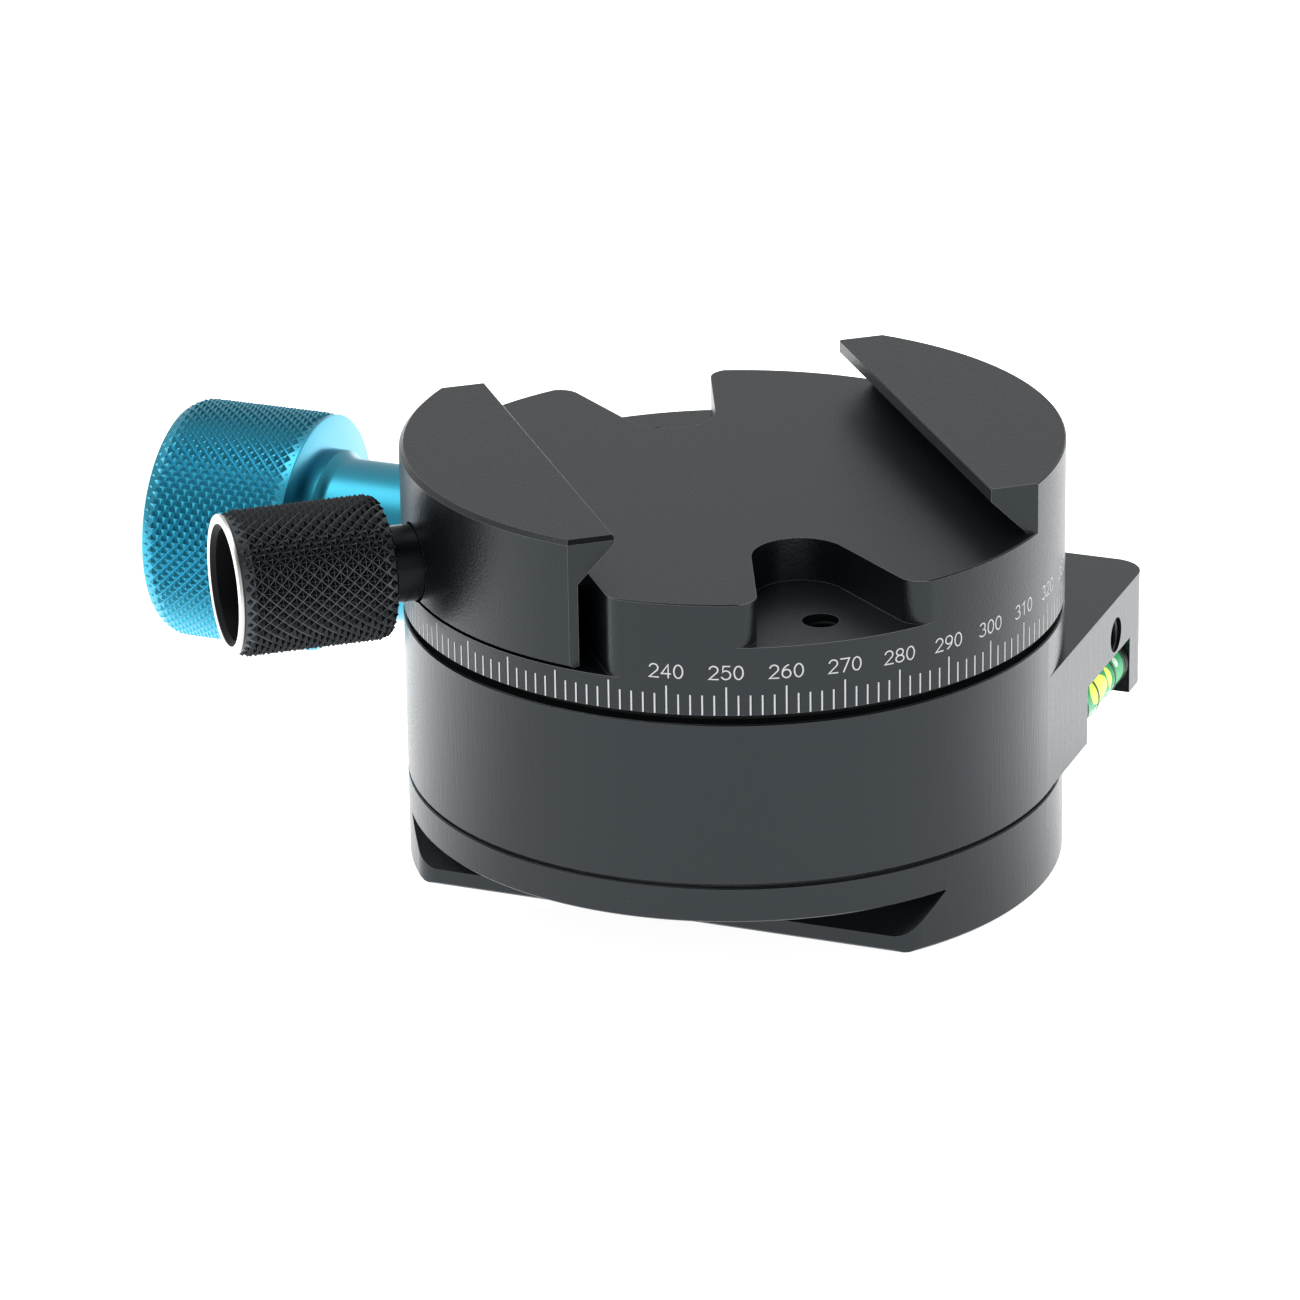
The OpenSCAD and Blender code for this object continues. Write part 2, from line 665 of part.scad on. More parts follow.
module tripod_bush() color([0.7, 0.7, 0.72])
    difference() {
        union() {
            cylinder(h = recess_z, r = bush_r);
            translate([0, 0, recess_z - bush_flange_h]) cylinder(h = bush_flange_h, r = bush_flange_r);
        }
        translate([0, 0, -1]) cylinder(h = far, r = tripod_r);
    }

/* ---------- pan lock, on a line beside the spindle ---------- */

// Draws what is turned about the lock screw, with the profile's height running outwards
module lock_turned() turned() translate([0, lock_y, lock_z]) rotate([0, -90, 0]) children();

module lock_knob() color([0.12, 0.6, 0.76]) {
    collar_x = lock_grip_x - lock_collar_len;
    collar_r = lock_neck_r + lock_collar_rise;
    lock_face_r = lock_grip_r - lock_rim;
    lock_turned() difference() {
        rotate_extrude($fn = 120)
            polygon([[0, nose_end], [cotter_r, nose_end], [cotter_r, neck_end],
                     [lock_neck_r - edge, neck_end], [lock_neck_r, neck_end + edge],
                     [lock_neck_r, collar_x - lock_collar_rise],
                     [collar_r, collar_x], [collar_r, lock_grip_x],
                     [lock_grip_r - edge, lock_grip_x], [lock_grip_r, lock_grip_x + edge],
                     [lock_grip_r, lock_end - grip_bevel], [lock_grip_r - grip_bevel, lock_end],
                     [lock_face_r + face_depth, lock_end], [lock_face_r, lock_end - face_depth],
                     [0, lock_end - face_depth]]);
        translate([0, 0, nose_end - 1])
            cylinder(h = lock_screw_head - nose_end + 1, r = lock_screw_r);
    }
}

module lock_screw() color([0.7, 0.7, 0.72])
    turned() along_x(-lock_screw_head, lock_screw_end, lock_screw_r, lock_y, lock_z);

module lock_cotter() color([0.8, 0.62, 0.25])
    turned() difference() {
        along_x(-cotter_out, -cotter_in, cotter_r, lock_y, lock_z);
        along_x(-far, far, lock_screw_r + run, lock_y, lock_z);
        for (x = [0, -lock_travel]) translate([x, 0, 0]) cylinder(h = far, r = spindle_r + 2 * run);
    }

module lock_washer() color([0.9, 0.9, 0.88])
    lock_turned() ring(cotter_out, lock_washer_t, lock_screw_r + run, cotter_r);

/* ---------- spirit level ---------- */

module at_vial() turned()
    translate([head_r - notch_depth + vial_r + vial_gap, notch_y0, body_z + notch_h - vial_r - vial_gap])
        rotate([-90, 0, 0]) children();

module vial_tube() color([0.75, 0.9, 0.8])
    at_vial() ring(cap_t, notch_len - 2 * cap_t, vial_r - vial_wall, vial_r);

module vial_fluid() color([0.25, 0.85, 0.3])
    at_vial() difference() {
        translate([0, 0, cap_t]) cylinder(h = notch_len - 2 * cap_t, r = vial_r - vial_wall);
        translate([0, -vial_r + vial_wall, notch_len / 2])
            rotate_extrude() intersection() {
                scale([1, bubble_len / (2 * bubble_r)]) circle(r = bubble_r, $fn = 64);
                translate([0, -far]) square([far, 2 * far]);
            }
    }

module vial_caps() color([0.08, 0.1, 0.08])
    at_vial() for (z = [0, notch_len - cap_t])
        translate([0, 0, z]) cylinder(h = cap_t, r = vial_r);

clamp_deck();
sliding_jaw();
clamp_knob();
clamp_screw();
clamp_screw_washer();
jaw_guide_pins();
jaw_springs();
pan_spindle();
spindle_screws();
retaining_plate();
plate_screws();
upper_thrust_washer();
lower_thrust_washer();
wave_washer();
pan_body();
dovetail_foot();
foot_screws();
tripod_bush();
lock_knob();
lock_screw();
lock_cotter();
lock_washer();
vial_tube();
vial_fluid();
vial_caps();
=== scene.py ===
# %% [markdown]
# # A panoramic tripod head, dressed for its portrait
#
# The solids of this head come from a CAD model: a clamp deck that turns on a fixed body, a
# sliding jaw, two knobs and a level. This lesson gives them what CAD leaves out: the knurls,
# the engraved scale, the threads, the level's bubble, and the finish of each metal.
# Everything is in metres, and a piece keeps its place in its mesh, so that it can ride on a
# moving body of the CAD model.

import json
import math

import bmesh
import bpy
from mathutils import Matrix, Vector


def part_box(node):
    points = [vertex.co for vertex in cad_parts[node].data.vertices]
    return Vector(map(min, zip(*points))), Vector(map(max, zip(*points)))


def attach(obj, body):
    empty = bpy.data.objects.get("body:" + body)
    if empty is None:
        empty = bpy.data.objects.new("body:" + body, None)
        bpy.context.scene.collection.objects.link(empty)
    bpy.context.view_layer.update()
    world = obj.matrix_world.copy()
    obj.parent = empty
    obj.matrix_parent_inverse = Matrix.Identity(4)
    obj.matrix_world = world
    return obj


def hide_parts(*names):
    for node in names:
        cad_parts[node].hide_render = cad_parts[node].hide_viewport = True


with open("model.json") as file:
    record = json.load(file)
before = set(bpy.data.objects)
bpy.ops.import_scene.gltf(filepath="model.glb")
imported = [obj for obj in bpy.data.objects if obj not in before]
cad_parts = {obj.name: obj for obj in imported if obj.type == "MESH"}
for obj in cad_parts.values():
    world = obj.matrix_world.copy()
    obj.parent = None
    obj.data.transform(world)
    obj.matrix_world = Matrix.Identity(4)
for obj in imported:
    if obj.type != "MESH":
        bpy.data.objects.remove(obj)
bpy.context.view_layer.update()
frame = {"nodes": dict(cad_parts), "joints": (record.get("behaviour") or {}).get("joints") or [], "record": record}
MM = 0.001

# %% [markdown]
# ## The lines that everything is built on
#
# Nothing is measured twice. The axes and sizes of the two knobs, the deck and the level are
# read from the solids. The fixed body stands turned under the deck, and the axis of its lock
# screw says by how much.

# %% Axes and sizes read from the frame
joints = {j["name"]: j for j in frame["joints"]}
lock_axis = Vector(joints["lock_travel"]["axis"])
body_turn = math.atan2(lock_axis.y, lock_axis.x)
UP = Vector((0, 0, 1))


def middle(node):
    """Centre of a CAD node's box."""
    low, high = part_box(node)
    return (low + high) / 2


def along(origin, outward):
    """A matrix that stands a turned piece's own Z on a line from origin."""
    side = outward.cross(UP)
    place = Matrix((UP, side, outward)).transposed().to_4x4()
    return Matrix.Translation(origin) @ place


deck_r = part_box("clamp_deck")[1].y
deck_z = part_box("clamp_deck")[0].z
body_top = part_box("pan_body")[1].z
clamp_line = along(Vector((0, 0, middle("clamp_knob").z)), Vector((-1, 0, 0)))
lock_origin = Vector(joints["lock_turn"]["pos_m"])
lock_origin -= lock_axis * lock_origin.dot(lock_axis)
lock_line = along(lock_origin, -lock_axis)
print("deck radius %.1f mm, body turned %.1f degrees" % (deck_r / MM, math.degrees(body_turn)))

# %% [markdown]
# ## Small helpers for meshes
#
# A turned part is a profile spun about its axis, so one lathe function makes both knobs.
# Faces look smooth, and edges sharper than 30 degrees stay crisp.

# %% Mesh helpers
SAME_POINT = 1e-7


def add_mesh(name, mesh):
    """Links a mesh as a new object at the origin."""
    obj = bpy.data.objects.new(name, mesh)
    bpy.context.scene.collection.objects.link(obj)
    return obj


def smooth(mesh, angle=30):
    """Shades a mesh smooth between its sharp edges."""
    mesh.shade_smooth()
    mesh.set_sharp_from_angle(angle=math.radians(angle))


def lathe(name, profile, steps=160):
    """Spins (radius, height) points, in millimetres, about Z. Ends on the axis are closed."""
    bm = bmesh.new()
    rings = []
    for radius, height in profile:
        if radius == 0:
            rings.append([bm.verts.new((0, 0, height * MM))])
            continue
        turns = (2 * math.pi * i / steps for i in range(steps))
        rings.append([bm.verts.new((radius * MM * math.cos(a), radius * MM * math.sin(a),
                                    height * MM)) for a in turns])
    for low, high in zip(rings, rings[1:]):
        for i in range(steps):
            j = (i + 1) % steps
            corners = [low[i % len(low)], low[j % len(low)],
                       high[j % len(high)], high[i % len(high)]]
            bm.faces.new(list(dict.fromkeys(corners)))
    bmesh.ops.remove_doubles(bm, verts=bm.verts, dist=SAME_POINT)
    bmesh.ops.recalc_face_normals(bm, faces=bm.faces)
    mesh = bpy.data.meshes.new(name)
    bm.to_mesh(mesh)
    bm.free()
    smooth(mesh)
    return add_mesh(name, mesh)


def bake(obj, place=None):
    """Turns what an object's modifiers make into its plain mesh, and sets that in place."""
    depsgraph = bpy.context.evaluated_depsgraph_get()
    mesh = bpy.data.meshes.new_from_object(obj.evaluated_get(depsgraph), depsgraph=depsgraph)
    obj.modifiers.clear()
    obj.data = mesh
    if place is not None:
        mesh.transform(place)


# %% [markdown]
# ## Small helpers for node trees
#
# Geometry Nodes make what repeats. Each tree is built by the script: its group inputs are
# the named sizes, and a modifier sets them by the socket's identifier.

# %% Geometry node helpers
def new_tree(name, sockets):
    """An empty geometry tree with the given (name, type) inputs after its geometry."""
    tree = bpy.data.node_groups.new(name, "GeometryNodeTree")
    tree.interface.new_socket("Geometry", in_out="INPUT", socket_type="NodeSocketGeometry")
    for label, kind in sockets:
        tree.interface.new_socket(label, in_out="INPUT", socket_type="NodeSocket" + kind)
    tree.interface.new_socket("Geometry", in_out="OUTPUT", socket_type="NodeSocketGeometry")
    return tree, tree.nodes.new("NodeGroupInput"), tree.nodes.new("NodeGroupOutput")


def put(tree, kind, inputs=None, **settings):
    """Adds a node. Inputs are values or sockets to link, by socket index or name."""
    node = tree.nodes.new(kind)
    for key, value in settings.items():
        setattr(node, key, value)
    for key, value in (inputs or {}).items():
        if isinstance(value, bpy.types.NodeSocket):
            tree.links.new(value, node.inputs[key])
        else:
            node.inputs[key].default_value = value
    return node


def math_node(tree, operation, a, b=0.0):
    """The result of a Math node."""
    return put(tree, "ShaderNodeMath", {0: a, 1: b}, operation=operation).outputs[0]


def run_tree(obj, tree, **values):
    """Runs a tree on an object, with its inputs given by name."""
    modifier = obj.modifiers.new(tree.name, "NODES")
    modifier.node_group = tree
    for item in tree.interface.items_tree:
        key = item.name.replace(" ", "_").lower()
        if item.in_out == "INPUT" and key in values:
            modifier[item.identifier] = values[key]


# %% [markdown]
# ## Diamond knurl
#
# A knurl is pressed into a turned grip by two wheels with slanted teeth. What stays between
# the crossing grooves is a pattern of small four-sided pyramids. Here one pyramid, a cone
# of four corners with a small flat tip, is placed row by row around the core, and every
# second row is shifted by half a step so that the pyramids' feet meet. Near both ends the rows
# sink, as the grip's corners are rounded.

# %% The knurl tree
knurl_tree, knurl_in, knurl_out = new_tree("diamond_knurl", [
    ("Around", "Int"), ("Rows", "Int"), ("Start", "Float"), ("End", "Float"),
    ("Tip Radius", "Float"), ("Depth", "Float"), ("Flat", "Float"), ("Round", "Float"),
    ("Finish", "Material")])
k = knurl_in.outputs
count = math_node(knurl_tree, "MULTIPLY", k["Around"], k["Rows"])
points = put(knurl_tree, "GeometryNodeMeshLine", {"Count": count})
index = put(knurl_tree, "GeometryNodeInputIndex").outputs[0]
row = math_node(knurl_tree, "FLOOR", math_node(knurl_tree, "DIVIDE", index, k["Around"]))
half = math_node(knurl_tree, "MULTIPLY", math_node(knurl_tree, "MODULO", row, 2.0), 0.5)
column = math_node(knurl_tree, "ADD", index, half)
step = math_node(knurl_tree, "DIVIDE", 2 * math.pi, k["Around"])
angle = math_node(knurl_tree, "MULTIPLY", column, step)
length = math_node(knurl_tree, "SUBTRACT", k["End"], k["Start"])
pitch = math_node(knurl_tree, "DIVIDE", length, math_node(knurl_tree, "ADD", k["Rows"], 1.0))
rise = math_node(knurl_tree, "MULTIPLY", math_node(knurl_tree, "ADD", row, 1.0), pitch)
height = math_node(knurl_tree, "ADD", rise, k["Start"])
from_end = math_node(knurl_tree, "MINIMUM",
                     math_node(knurl_tree, "SUBTRACT", height, k["Start"]),
                     math_node(knurl_tree, "SUBTRACT", k["End"], height))
inside = math_node(knurl_tree, "DIVIDE", from_end, k["Round"])
short_of = math_node(knurl_tree, "MAXIMUM", math_node(knurl_tree, "SUBTRACT", 1.0, inside), 0.0)
drop = math_node(knurl_tree, "MULTIPLY", math_node(knurl_tree, "POWER", short_of, 2.0),
                 math_node(knurl_tree, "MULTIPLY", k["Round"], 0.6))
full_root = math_node(knurl_tree, "SUBTRACT", k["Tip Radius"], k["Depth"])
root = math_node(knurl_tree, "SUBTRACT", full_root, drop)
spot = put(knurl_tree, "ShaderNodeCombineXYZ", {
    0: math_node(knurl_tree, "MULTIPLY", root, math_node(knurl_tree, "COSINE", angle)),
    1: math_node(knurl_tree, "MULTIPLY", root, math_node(knurl_tree, "SINE", angle)), 2: height})
placed = put(knurl_tree, "GeometryNodeSetPosition", {
    0: points.outputs[0], "Position": spot.outputs[0]})
pyramid = put(knurl_tree, "GeometryNodeMeshCone", {
    "Vertices": 4, "Radius Top": k["Flat"], "Radius Bottom": 1.0, "Depth": 1.0})
facets = put(knurl_tree, "GeometryNodeSetShadeSmooth", {
    0: pyramid.outputs[0], "Shade Smooth": False})
turn = put(knurl_tree, "ShaderNodeCombineXYZ", {0: 0.0, 1: math.pi / 2, 2: angle})
half_width = math_node(knurl_tree, "MULTIPLY",
                       math_node(knurl_tree, "MULTIPLY", root, step), 0.5)
size = put(knurl_tree, "ShaderNodeCombineXYZ", {0: pitch, 1: half_width, 2: k["Depth"]})
rows = put(knurl_tree, "GeometryNodeInstanceOnPoints", {
    "Points": placed.outputs[0], "Instance": facets.outputs[0],
    "Rotation": turn.outputs[0], "Scale": size.outputs[0]})
real = put(knurl_tree, "GeometryNodeRealizeInstances", {0: rows.outputs[0]})
painted = put(knurl_tree, "GeometryNodeSetMaterial", {
    0: real.outputs[0], "Material": k["Finish"]})
both = put(knurl_tree, "GeometryNodeJoinGeometry", {0: painted.outputs[0]})
knurl_tree.links.new(k["Geometry"], both.inputs[0])
knurl_tree.links.new(both.outputs[0], knurl_out.inputs[0])
print("knurl tree:", len(knurl_tree.nodes), "nodes")

# %% [markdown]
# ## Shared effects of the finishes
#
# Three effects return in many finishes: the fine grain of a blasted and anodised face, the
# thin lines that a lathe leaves, and lighter edges, partly wear where the dye is thin and partly
# a painted highlight. Each is a shader group that puts out values only. The shaders stay in the
# materials.

# %% Shader group helpers
def new_effect(name, inputs, outputs):
    """An empty shader group with named float inputs and outputs."""
    tree = bpy.data.node_groups.new(name, "ShaderNodeTree")
    for label, value in inputs:
        socket = tree.interface.new_socket(label, in_out="INPUT", socket_type="NodeSocketFloat")
        socket.default_value = value
    for label in outputs:
        tree.interface.new_socket(label, in_out="OUTPUT", socket_type="NodeSocketFloat")
    return tree, tree.nodes.new("NodeGroupInput"), tree.nodes.new("NodeGroupOutput")


def object_coordinates(tree):
    return put(tree, "ShaderNodeTexCoord").outputs["Object"]


def remap(tree, value, low, high, to_low=0.0, to_high=1.0):
    """A clamped Map Range."""
    return put(tree, "ShaderNodeMapRange", {
        0: value, 1: low, 2: high, 3: to_low, 4: to_high}).outputs[0]


# %% [markdown]
# ## Blasted grain
#
# Before it is anodised, the deck is blasted with fine beads, which leaves it matt and slightly
# rough. A noise makes that grain, and a few cells of a Voronoi pattern make rare pinpoints of
# painted sparkle, lighter spots that stand for light caught by the grain. Both read Object
# coordinates, so the grain has the same size on every piece.

# %% Blasted grain, with a few painted glints
grain, grain_in, grain_out = new_effect(
    "blasted_grain", [("Grains per metre", 4200.0), ("Specks", 0.5)], ["Height", "Speck"])
where = object_coordinates(grain)
fine = put(grain, "ShaderNodeTexNoise", {
    "Vector": where, "Scale": grain_in.outputs[0], "Detail": 2.0, "Roughness": 0.6})
grain.links.new(fine.outputs["Fac"], grain_out.inputs["Height"])
cells = put(grain, "ShaderNodeTexVoronoi", {"Vector": where, "Scale": 900.0})
dot = remap(grain, cells.outputs["Distance"], 0.05, 0.02)
chance = put(grain, "ShaderNodeSeparateColor", {0: cells.outputs["Color"]}).outputs[0]
share = math_node(grain, "MULTIPLY", grain_in.outputs[1], 0.08)
rare = math_node(grain, "LESS_THAN", chance, share)
grain.links.new(math_node(grain, "MULTIPLY", dot, rare), grain_out.inputs["Speck"])

# %% [markdown]
# ## Tool lines
#
# A turned or brushed side has lines in one direction. The same kind of noise gives them when
# its space is squeezed along one axis before the noise reads it. Here that axis is Z, so the
# lines stand upright on the body, and cross the sides of the knobs, whose axes lie flat.

# %% Tool lines along Z
lines, lines_in, lines_out = new_effect(
    "turned_lines", [("Lines per metre", 5000.0), ("Stretch", 0.04)], ["Height"])
spread = put(lines, "ShaderNodeCombineXYZ", {0: 1.0, 1: 1.0, 2: lines_in.outputs["Stretch"]})
drawn = put(lines, "ShaderNodeVectorMath", {
    0: object_coordinates(lines), 1: spread.outputs[0]}, operation="MULTIPLY")
streak = put(lines, "ShaderNodeTexNoise", {
    "Vector": drawn.outputs[0], "Scale": lines_in.outputs[0], "Detail": 3.0, "Roughness": 0.65})
lines.links.new(streak.outputs["Fac"], lines_out.inputs["Height"])

# %% [markdown]
# ## Edges
#
# Edges look lighter: partly because the dye is thinnest there, and partly as a painted highlight
# where a chamfer would catch the light. A Bevel node rounds the normal near an edge: where that
# rounded normal and the true one disagree, there is an edge.

# %% Edges lighter by wear and by a painted highlight
edge_wear_sheen, edge_wear_sheen_in, edge_wear_sheen_out = new_effect("edge_shine", [("Width", 0.0002)], ["Edge"])
rounded = put(edge_wear_sheen, "ShaderNodeBevel", {"Radius": edge_wear_sheen_in.outputs[0]}, samples=6)
true_normal = put(edge_wear_sheen, "ShaderNodeNewGeometry").outputs["True Normal"]
agree = put(edge_wear_sheen, "ShaderNodeVectorMath", {
    0: rounded.outputs[0], 1: true_normal}, operation="DOT_PRODUCT")
edge_wear_sheen.links.new(remap(edge_wear_sheen, agree.outputs["Value"], 0.99, 0.86), edge_wear_sheen_out.inputs["Edge"])
print("effects:", grain.name, lines.name, edge_wear_sheen.name)

# %% [markdown]
# ## The finishes
#
# Anodised aluminium is metal under a thin glassy oxide. Dyed black, it hardly lets the metal
# through and behaves as a dark, slightly rough glaze, so it is modelled as a dark base
# with a clear gloss. Dyed blue, the metal still shows, so it is a tinted metal under a coat.

# %% A material with its Principled shader
def finish(name, color, metallic=0.0, rough=0.4, ior=1.5, coat=0.0, coat_rough=0.1,
           tint=(1.0, 1.0, 1.0)):
    """A named material. Its sockets hold what is the same all over the surface."""
    material = bpy.data.materials.new(name)
    material.use_nodes = True
    shader = material.node_tree.nodes["Principled BSDF"]
    shader.inputs["Base Color"].default_value = (*color, 1.0)
    shader.inputs["Metallic"].default_value = metallic
    shader.inputs["Roughness"].default_value = rough
    shader.inputs["IOR"].default_value = ior
    shader.inputs["Specular Tint"].default_value = (*tint, 1.0)
    shader.inputs["Coat Weight"].default_value = coat
    shader.inputs["Coat Roughness"].default_value = coat_rough
    material.diffuse_color = (*color, 1.0)
    return material, material.node_tree, shader


def effect(tree, group, **values):
    """Places a shared effect in a material, with its own values."""
    node = tree.nodes.new("ShaderNodeGroup")
    node.node_tree = group
    for label, value in values.items():
        node.inputs[label.replace("_", " ")].default_value = value
    return node


def bump(tree, shader, height, depth):
    """Feeds a height, as deep as depth in metres, to the shader's normal."""
    node = put(tree, "ShaderNodeBump", {"Height": height, "Strength": 1.0, "Distance": depth})
    tree.links.new(node.outputs[0], shader.inputs["Normal"])


def blend(tree, factor, low, high):
    """A colour that goes from low to high as the factor rises."""
    node = put(tree, "ShaderNodeMix", {0: factor}, data_type="RGBA")
    node.inputs["A"].default_value = (*low, 1.0)
    node.inputs["B"].default_value = (*high, 1.0)
    return node.outputs["Result"]


# %% [markdown]
# ## Black anodised aluminium
#
# One function makes both blacks: a deep relief for the blasted deck, and a shallow one with
# upright tool lines for the body and the foot. The dark base takes next to no light, so what is
# seen is the reflection, which is cool when it is looked at straight and white at a glance.

# %% Black anodised aluminium, blasted
COOL = (0.84, 0.94, 1.0)


def black_anodised(name, base, rough, depth, edge, specks=0.5, lined=0.0):
    """A dark glaze over blasted metal. The reflection is cool, and turns white at a glance."""
    material, tree, shader = finish(name, base, rough=rough, ior=1.6, tint=COOL)
    blasted = effect(tree, grain, Specks=specks)
    # Lighter colour at edges, partly wear and partly a painted highlight, and in rare spots painted glints of the
    # blasted grain.
    wear_and_sheen = effect(tree, edge_wear_sheen, Width=0.00007)
    marks = math_node(tree, "MAXIMUM", wear_and_sheen.outputs["Edge"], blasted.outputs["Speck"])
    tree.links.new(blend(tree, marks, base, edge), shader.inputs["Base Color"])
    uneven = remap(tree, blasted.outputs["Height"], 0.3, 0.7, rough - 0.04, rough + 0.04)
    tree.links.new(uneven, shader.inputs["Roughness"])
    relief = blasted.outputs["Height"]
    if lined:
        turned = effect(tree, lines)
        share = math_node(tree, "MULTIPLY", turned.outputs["Height"], lined)
        relief = math_node(tree, "ADD", relief, share)
    bump(tree, shader, relief, depth)
    return material


DYED_BLACK = (0.004, 0.0055, 0.0075)
deck_black = black_anodised("deck_black", DYED_BLACK, 0.32, 0.00003, (0.3, 0.305, 0.31))
body_black = black_anodised("body_black", DYED_BLACK, 0.22, 0.00001,
                            (0.15, 0.152, 0.155), lined=2.2)

# %% [markdown]
# ## Knob finishes
#
# The black knurl isn't blasted, so it is glossier than the deck, and its ridges are lighter,
# partly with wear and partly with a painted highlight. The floors of its grooves are greyer, and
# the stem darker; the hollow is a duller black, partly painted shade deep in the knob. The ring
# is bare metal, and the blue knob is a tinted metal under a thin coat that turns pale at a glance.

# %% Knob finishes
KNOB_BLACK = (0.004, 0.005, 0.006)
LINE_DEPTH = 0.000002
knurl_black, tree, shader = finish("knurl_black", KNOB_BLACK, rough=0.12, ior=1.5, tint=COOL)
# Lighter colour on the ridges' edges: partly wear, partly a painted highlight.
wear_and_sheen = effect(tree, edge_wear_sheen, Width=0.00005)
tree.links.new(blend(tree, wear_and_sheen.outputs["Edge"], KNOB_BLACK, (0.14, 0.145, 0.15)),
               shader.inputs["Base Color"])
stem_black, tree, shader = finish("stem_black", KNOB_BLACK, rough=0.25, ior=1.3, tint=COOL)
bump(tree, shader, effect(tree, lines).outputs["Height"], LINE_DEPTH)
groove_black, tree, shader = finish("groove_black", (0.035, 0.037, 0.04), rough=0.25,
                                    ior=1.8, tint=COOL)
bump(tree, shader, effect(tree, lines).outputs["Height"], LINE_DEPTH)
ring_bright, tree, shader = finish("ring_bright", (0.80, 0.79, 0.77), metallic=1.0, rough=0.34)
bump(tree, shader, effect(tree, lines).outputs["Height"], LINE_DEPTH)
# A dull, nearly black finish for holes, the knob's hollow and the cut marks' walls: partly the parts' own black,
# and darker as painted shade in these recesses.
hollow_black, tree, shader = finish("hollow_black", (0.003, 0.0035, 0.005), rough=0.6, ior=1.3)

blue, tree, shader = finish("blue_anodised", (0.012, 0.34, 0.49), metallic=1.0, rough=0.34,
                            ior=1.5, coat=0.8, coat_rough=0.3)
bump(tree, shader, effect(tree, grain, Specks=0.0).outputs["Height"], 0.000004)

# %% [markdown]
# ## Metals and polymers that stay inside
#
# Screws, springs, washers and pins are seen from below or not at all, but each has its real
# finish: bare metals with lathe lines, and polymers with a faint grain.

# %% Plain metals and polymers
def plain_metal(name, color, rough, depth=0.000003):
    """Bare metal that a lathe has left its lines on."""
    material, tree, shader = finish(name, color, metallic=1.0, rough=rough)
    turned = effect(tree, lines)
    tree.links.new(remap(tree, turned.outputs["Height"], 0.3, 0.7, rough - 0.06, rough + 0.08),
                   shader.inputs["Roughness"])
    bump(tree, shader, turned.outputs["Height"], depth)
    return material


def plain_polymer(name, color, rough):
    """A moulded or cut polymer with a faint grain."""
    material, tree, shader = finish(name, color, rough=rough)
    bump(tree, shader, effect(tree, grain, Specks=0.0).outputs["Height"], 0.000003)
    return material


bare_aluminium = plain_metal("bare_aluminium", (0.6, 0.61, 0.63), 0.3)
bright_steel = plain_metal("bright_steel", (0.58, 0.58, 0.6), 0.24)
black_steel = plain_metal("black_steel", (0.05, 0.05, 0.055), 0.38)
brass = plain_metal("brass", (0.72, 0.52, 0.2), 0.28)
black_polymer = plain_polymer("black_polymer", (0.008, 0.008, 0.009), 0.55)
white_polymer = plain_polymer("white_polymer", (0.8, 0.79, 0.75), 0.45)
scale_white, tree, shader = finish("scale_white", (0.82, 0.83, 0.84), rough=0.55)
patchy = effect(tree, grain, Specks=0.0)
tree.links.new(remap(tree, patchy.outputs["Height"], 0.3, 0.7, 0.45, 0.65),
               shader.inputs["Roughness"])

# %% [markdown]
# ## The level's finishes
#
# The fluid is dyed bright green and seems to glow, because light comes through it from behind.
# A little emission gives that without slow refraction, and it turns pale near the bottom,
# where the white floor shines through. The glass is a clear skin over it. The bubble's bright
# image and a small white glint glow as well: a painted refraction and a painted highlight.

# %% The level's glass and fluid, and painted glows for the bubble's image and a glint
vial_glass, tree, shader = finish("vial_glass", (0.3, 0.8, 0.5), rough=0.05, ior=1.35)
shader.inputs["Alpha"].default_value = 0.1
vial_green, tree, shader = finish("vial_green", (0.02, 0.36, 0.12), rough=0.3, ior=1.3)
level_z = put(tree, "ShaderNodeSeparateXYZ", {0: object_coordinates(tree)}).outputs["Z"]
PALE_FROM, PALE_AT = 0.0114, 0.0101
low_glow = remap(tree, level_z, PALE_FROM, PALE_AT)
tree.links.new(blend(tree, low_glow, (0.02, 0.42, 0.14), (0.45, 1.0, 0.62)),
               shader.inputs["Emission Color"])
shader.inputs["Emission Strength"].default_value = 0.45
# Painted refraction: the bubble's bright image, a yellow that glows.
vial_yellow, tree, shader = finish("vial_yellow", (0.7, 0.9, 0.05), rough=0.3)
shader.inputs["Emission Color"].default_value = (0.95, 1.0, 0.12, 1.0)
shader.inputs["Emission Strength"].default_value = 0.8
# Painted highlight: a small white glow for a glint on the vial.
vial_white, tree, shader = finish("vial_white", (0.9, 0.95, 0.9), rough=0.3)
shader.inputs["Emission Color"].default_value = (0.9, 1.0, 0.92, 1.0)
shader.inputs["Emission Strength"].default_value = 0.4
vial_ink, tree, shader = finish("vial_ink", (0.005, 0.06, 0.03), rough=0.4)
print("finishes:", len(bpy.data.materials))

# %% [markdown]
# ## Dressing the solids
#
# Every CAD node keeps its mesh and gets a better material. The record lists which material
# slot each node has, so one table from slot to finish dresses them all. The two knobs, the
# vial and its fluid get theirs as well, though pieces made further on stand for them.

# %% One finish for each material slot
slot_finish = {
    "black_anodised": deck_black, "black_knurled": knurl_black, "blue_anodised": blue,
    "bare_aluminium": bare_aluminium, "bright_steel": bright_steel, "black_steel": black_steel,
    "brass": brass, "black_polymer": black_polymer, "white_polymer": white_polymer,
    "vial_glass": vial_glass, "vial_fluid": vial_green}
for part in frame["record"]["subparts"]:
    node = frame["nodes"][part["node"]]
    node.data.materials.clear()
    node.data.materials.append(slot_finish[part["material_slot"]])
for name in ("pan_body", "dovetail_foot"):
    frame["nodes"][name].data.materials[0] = body_black

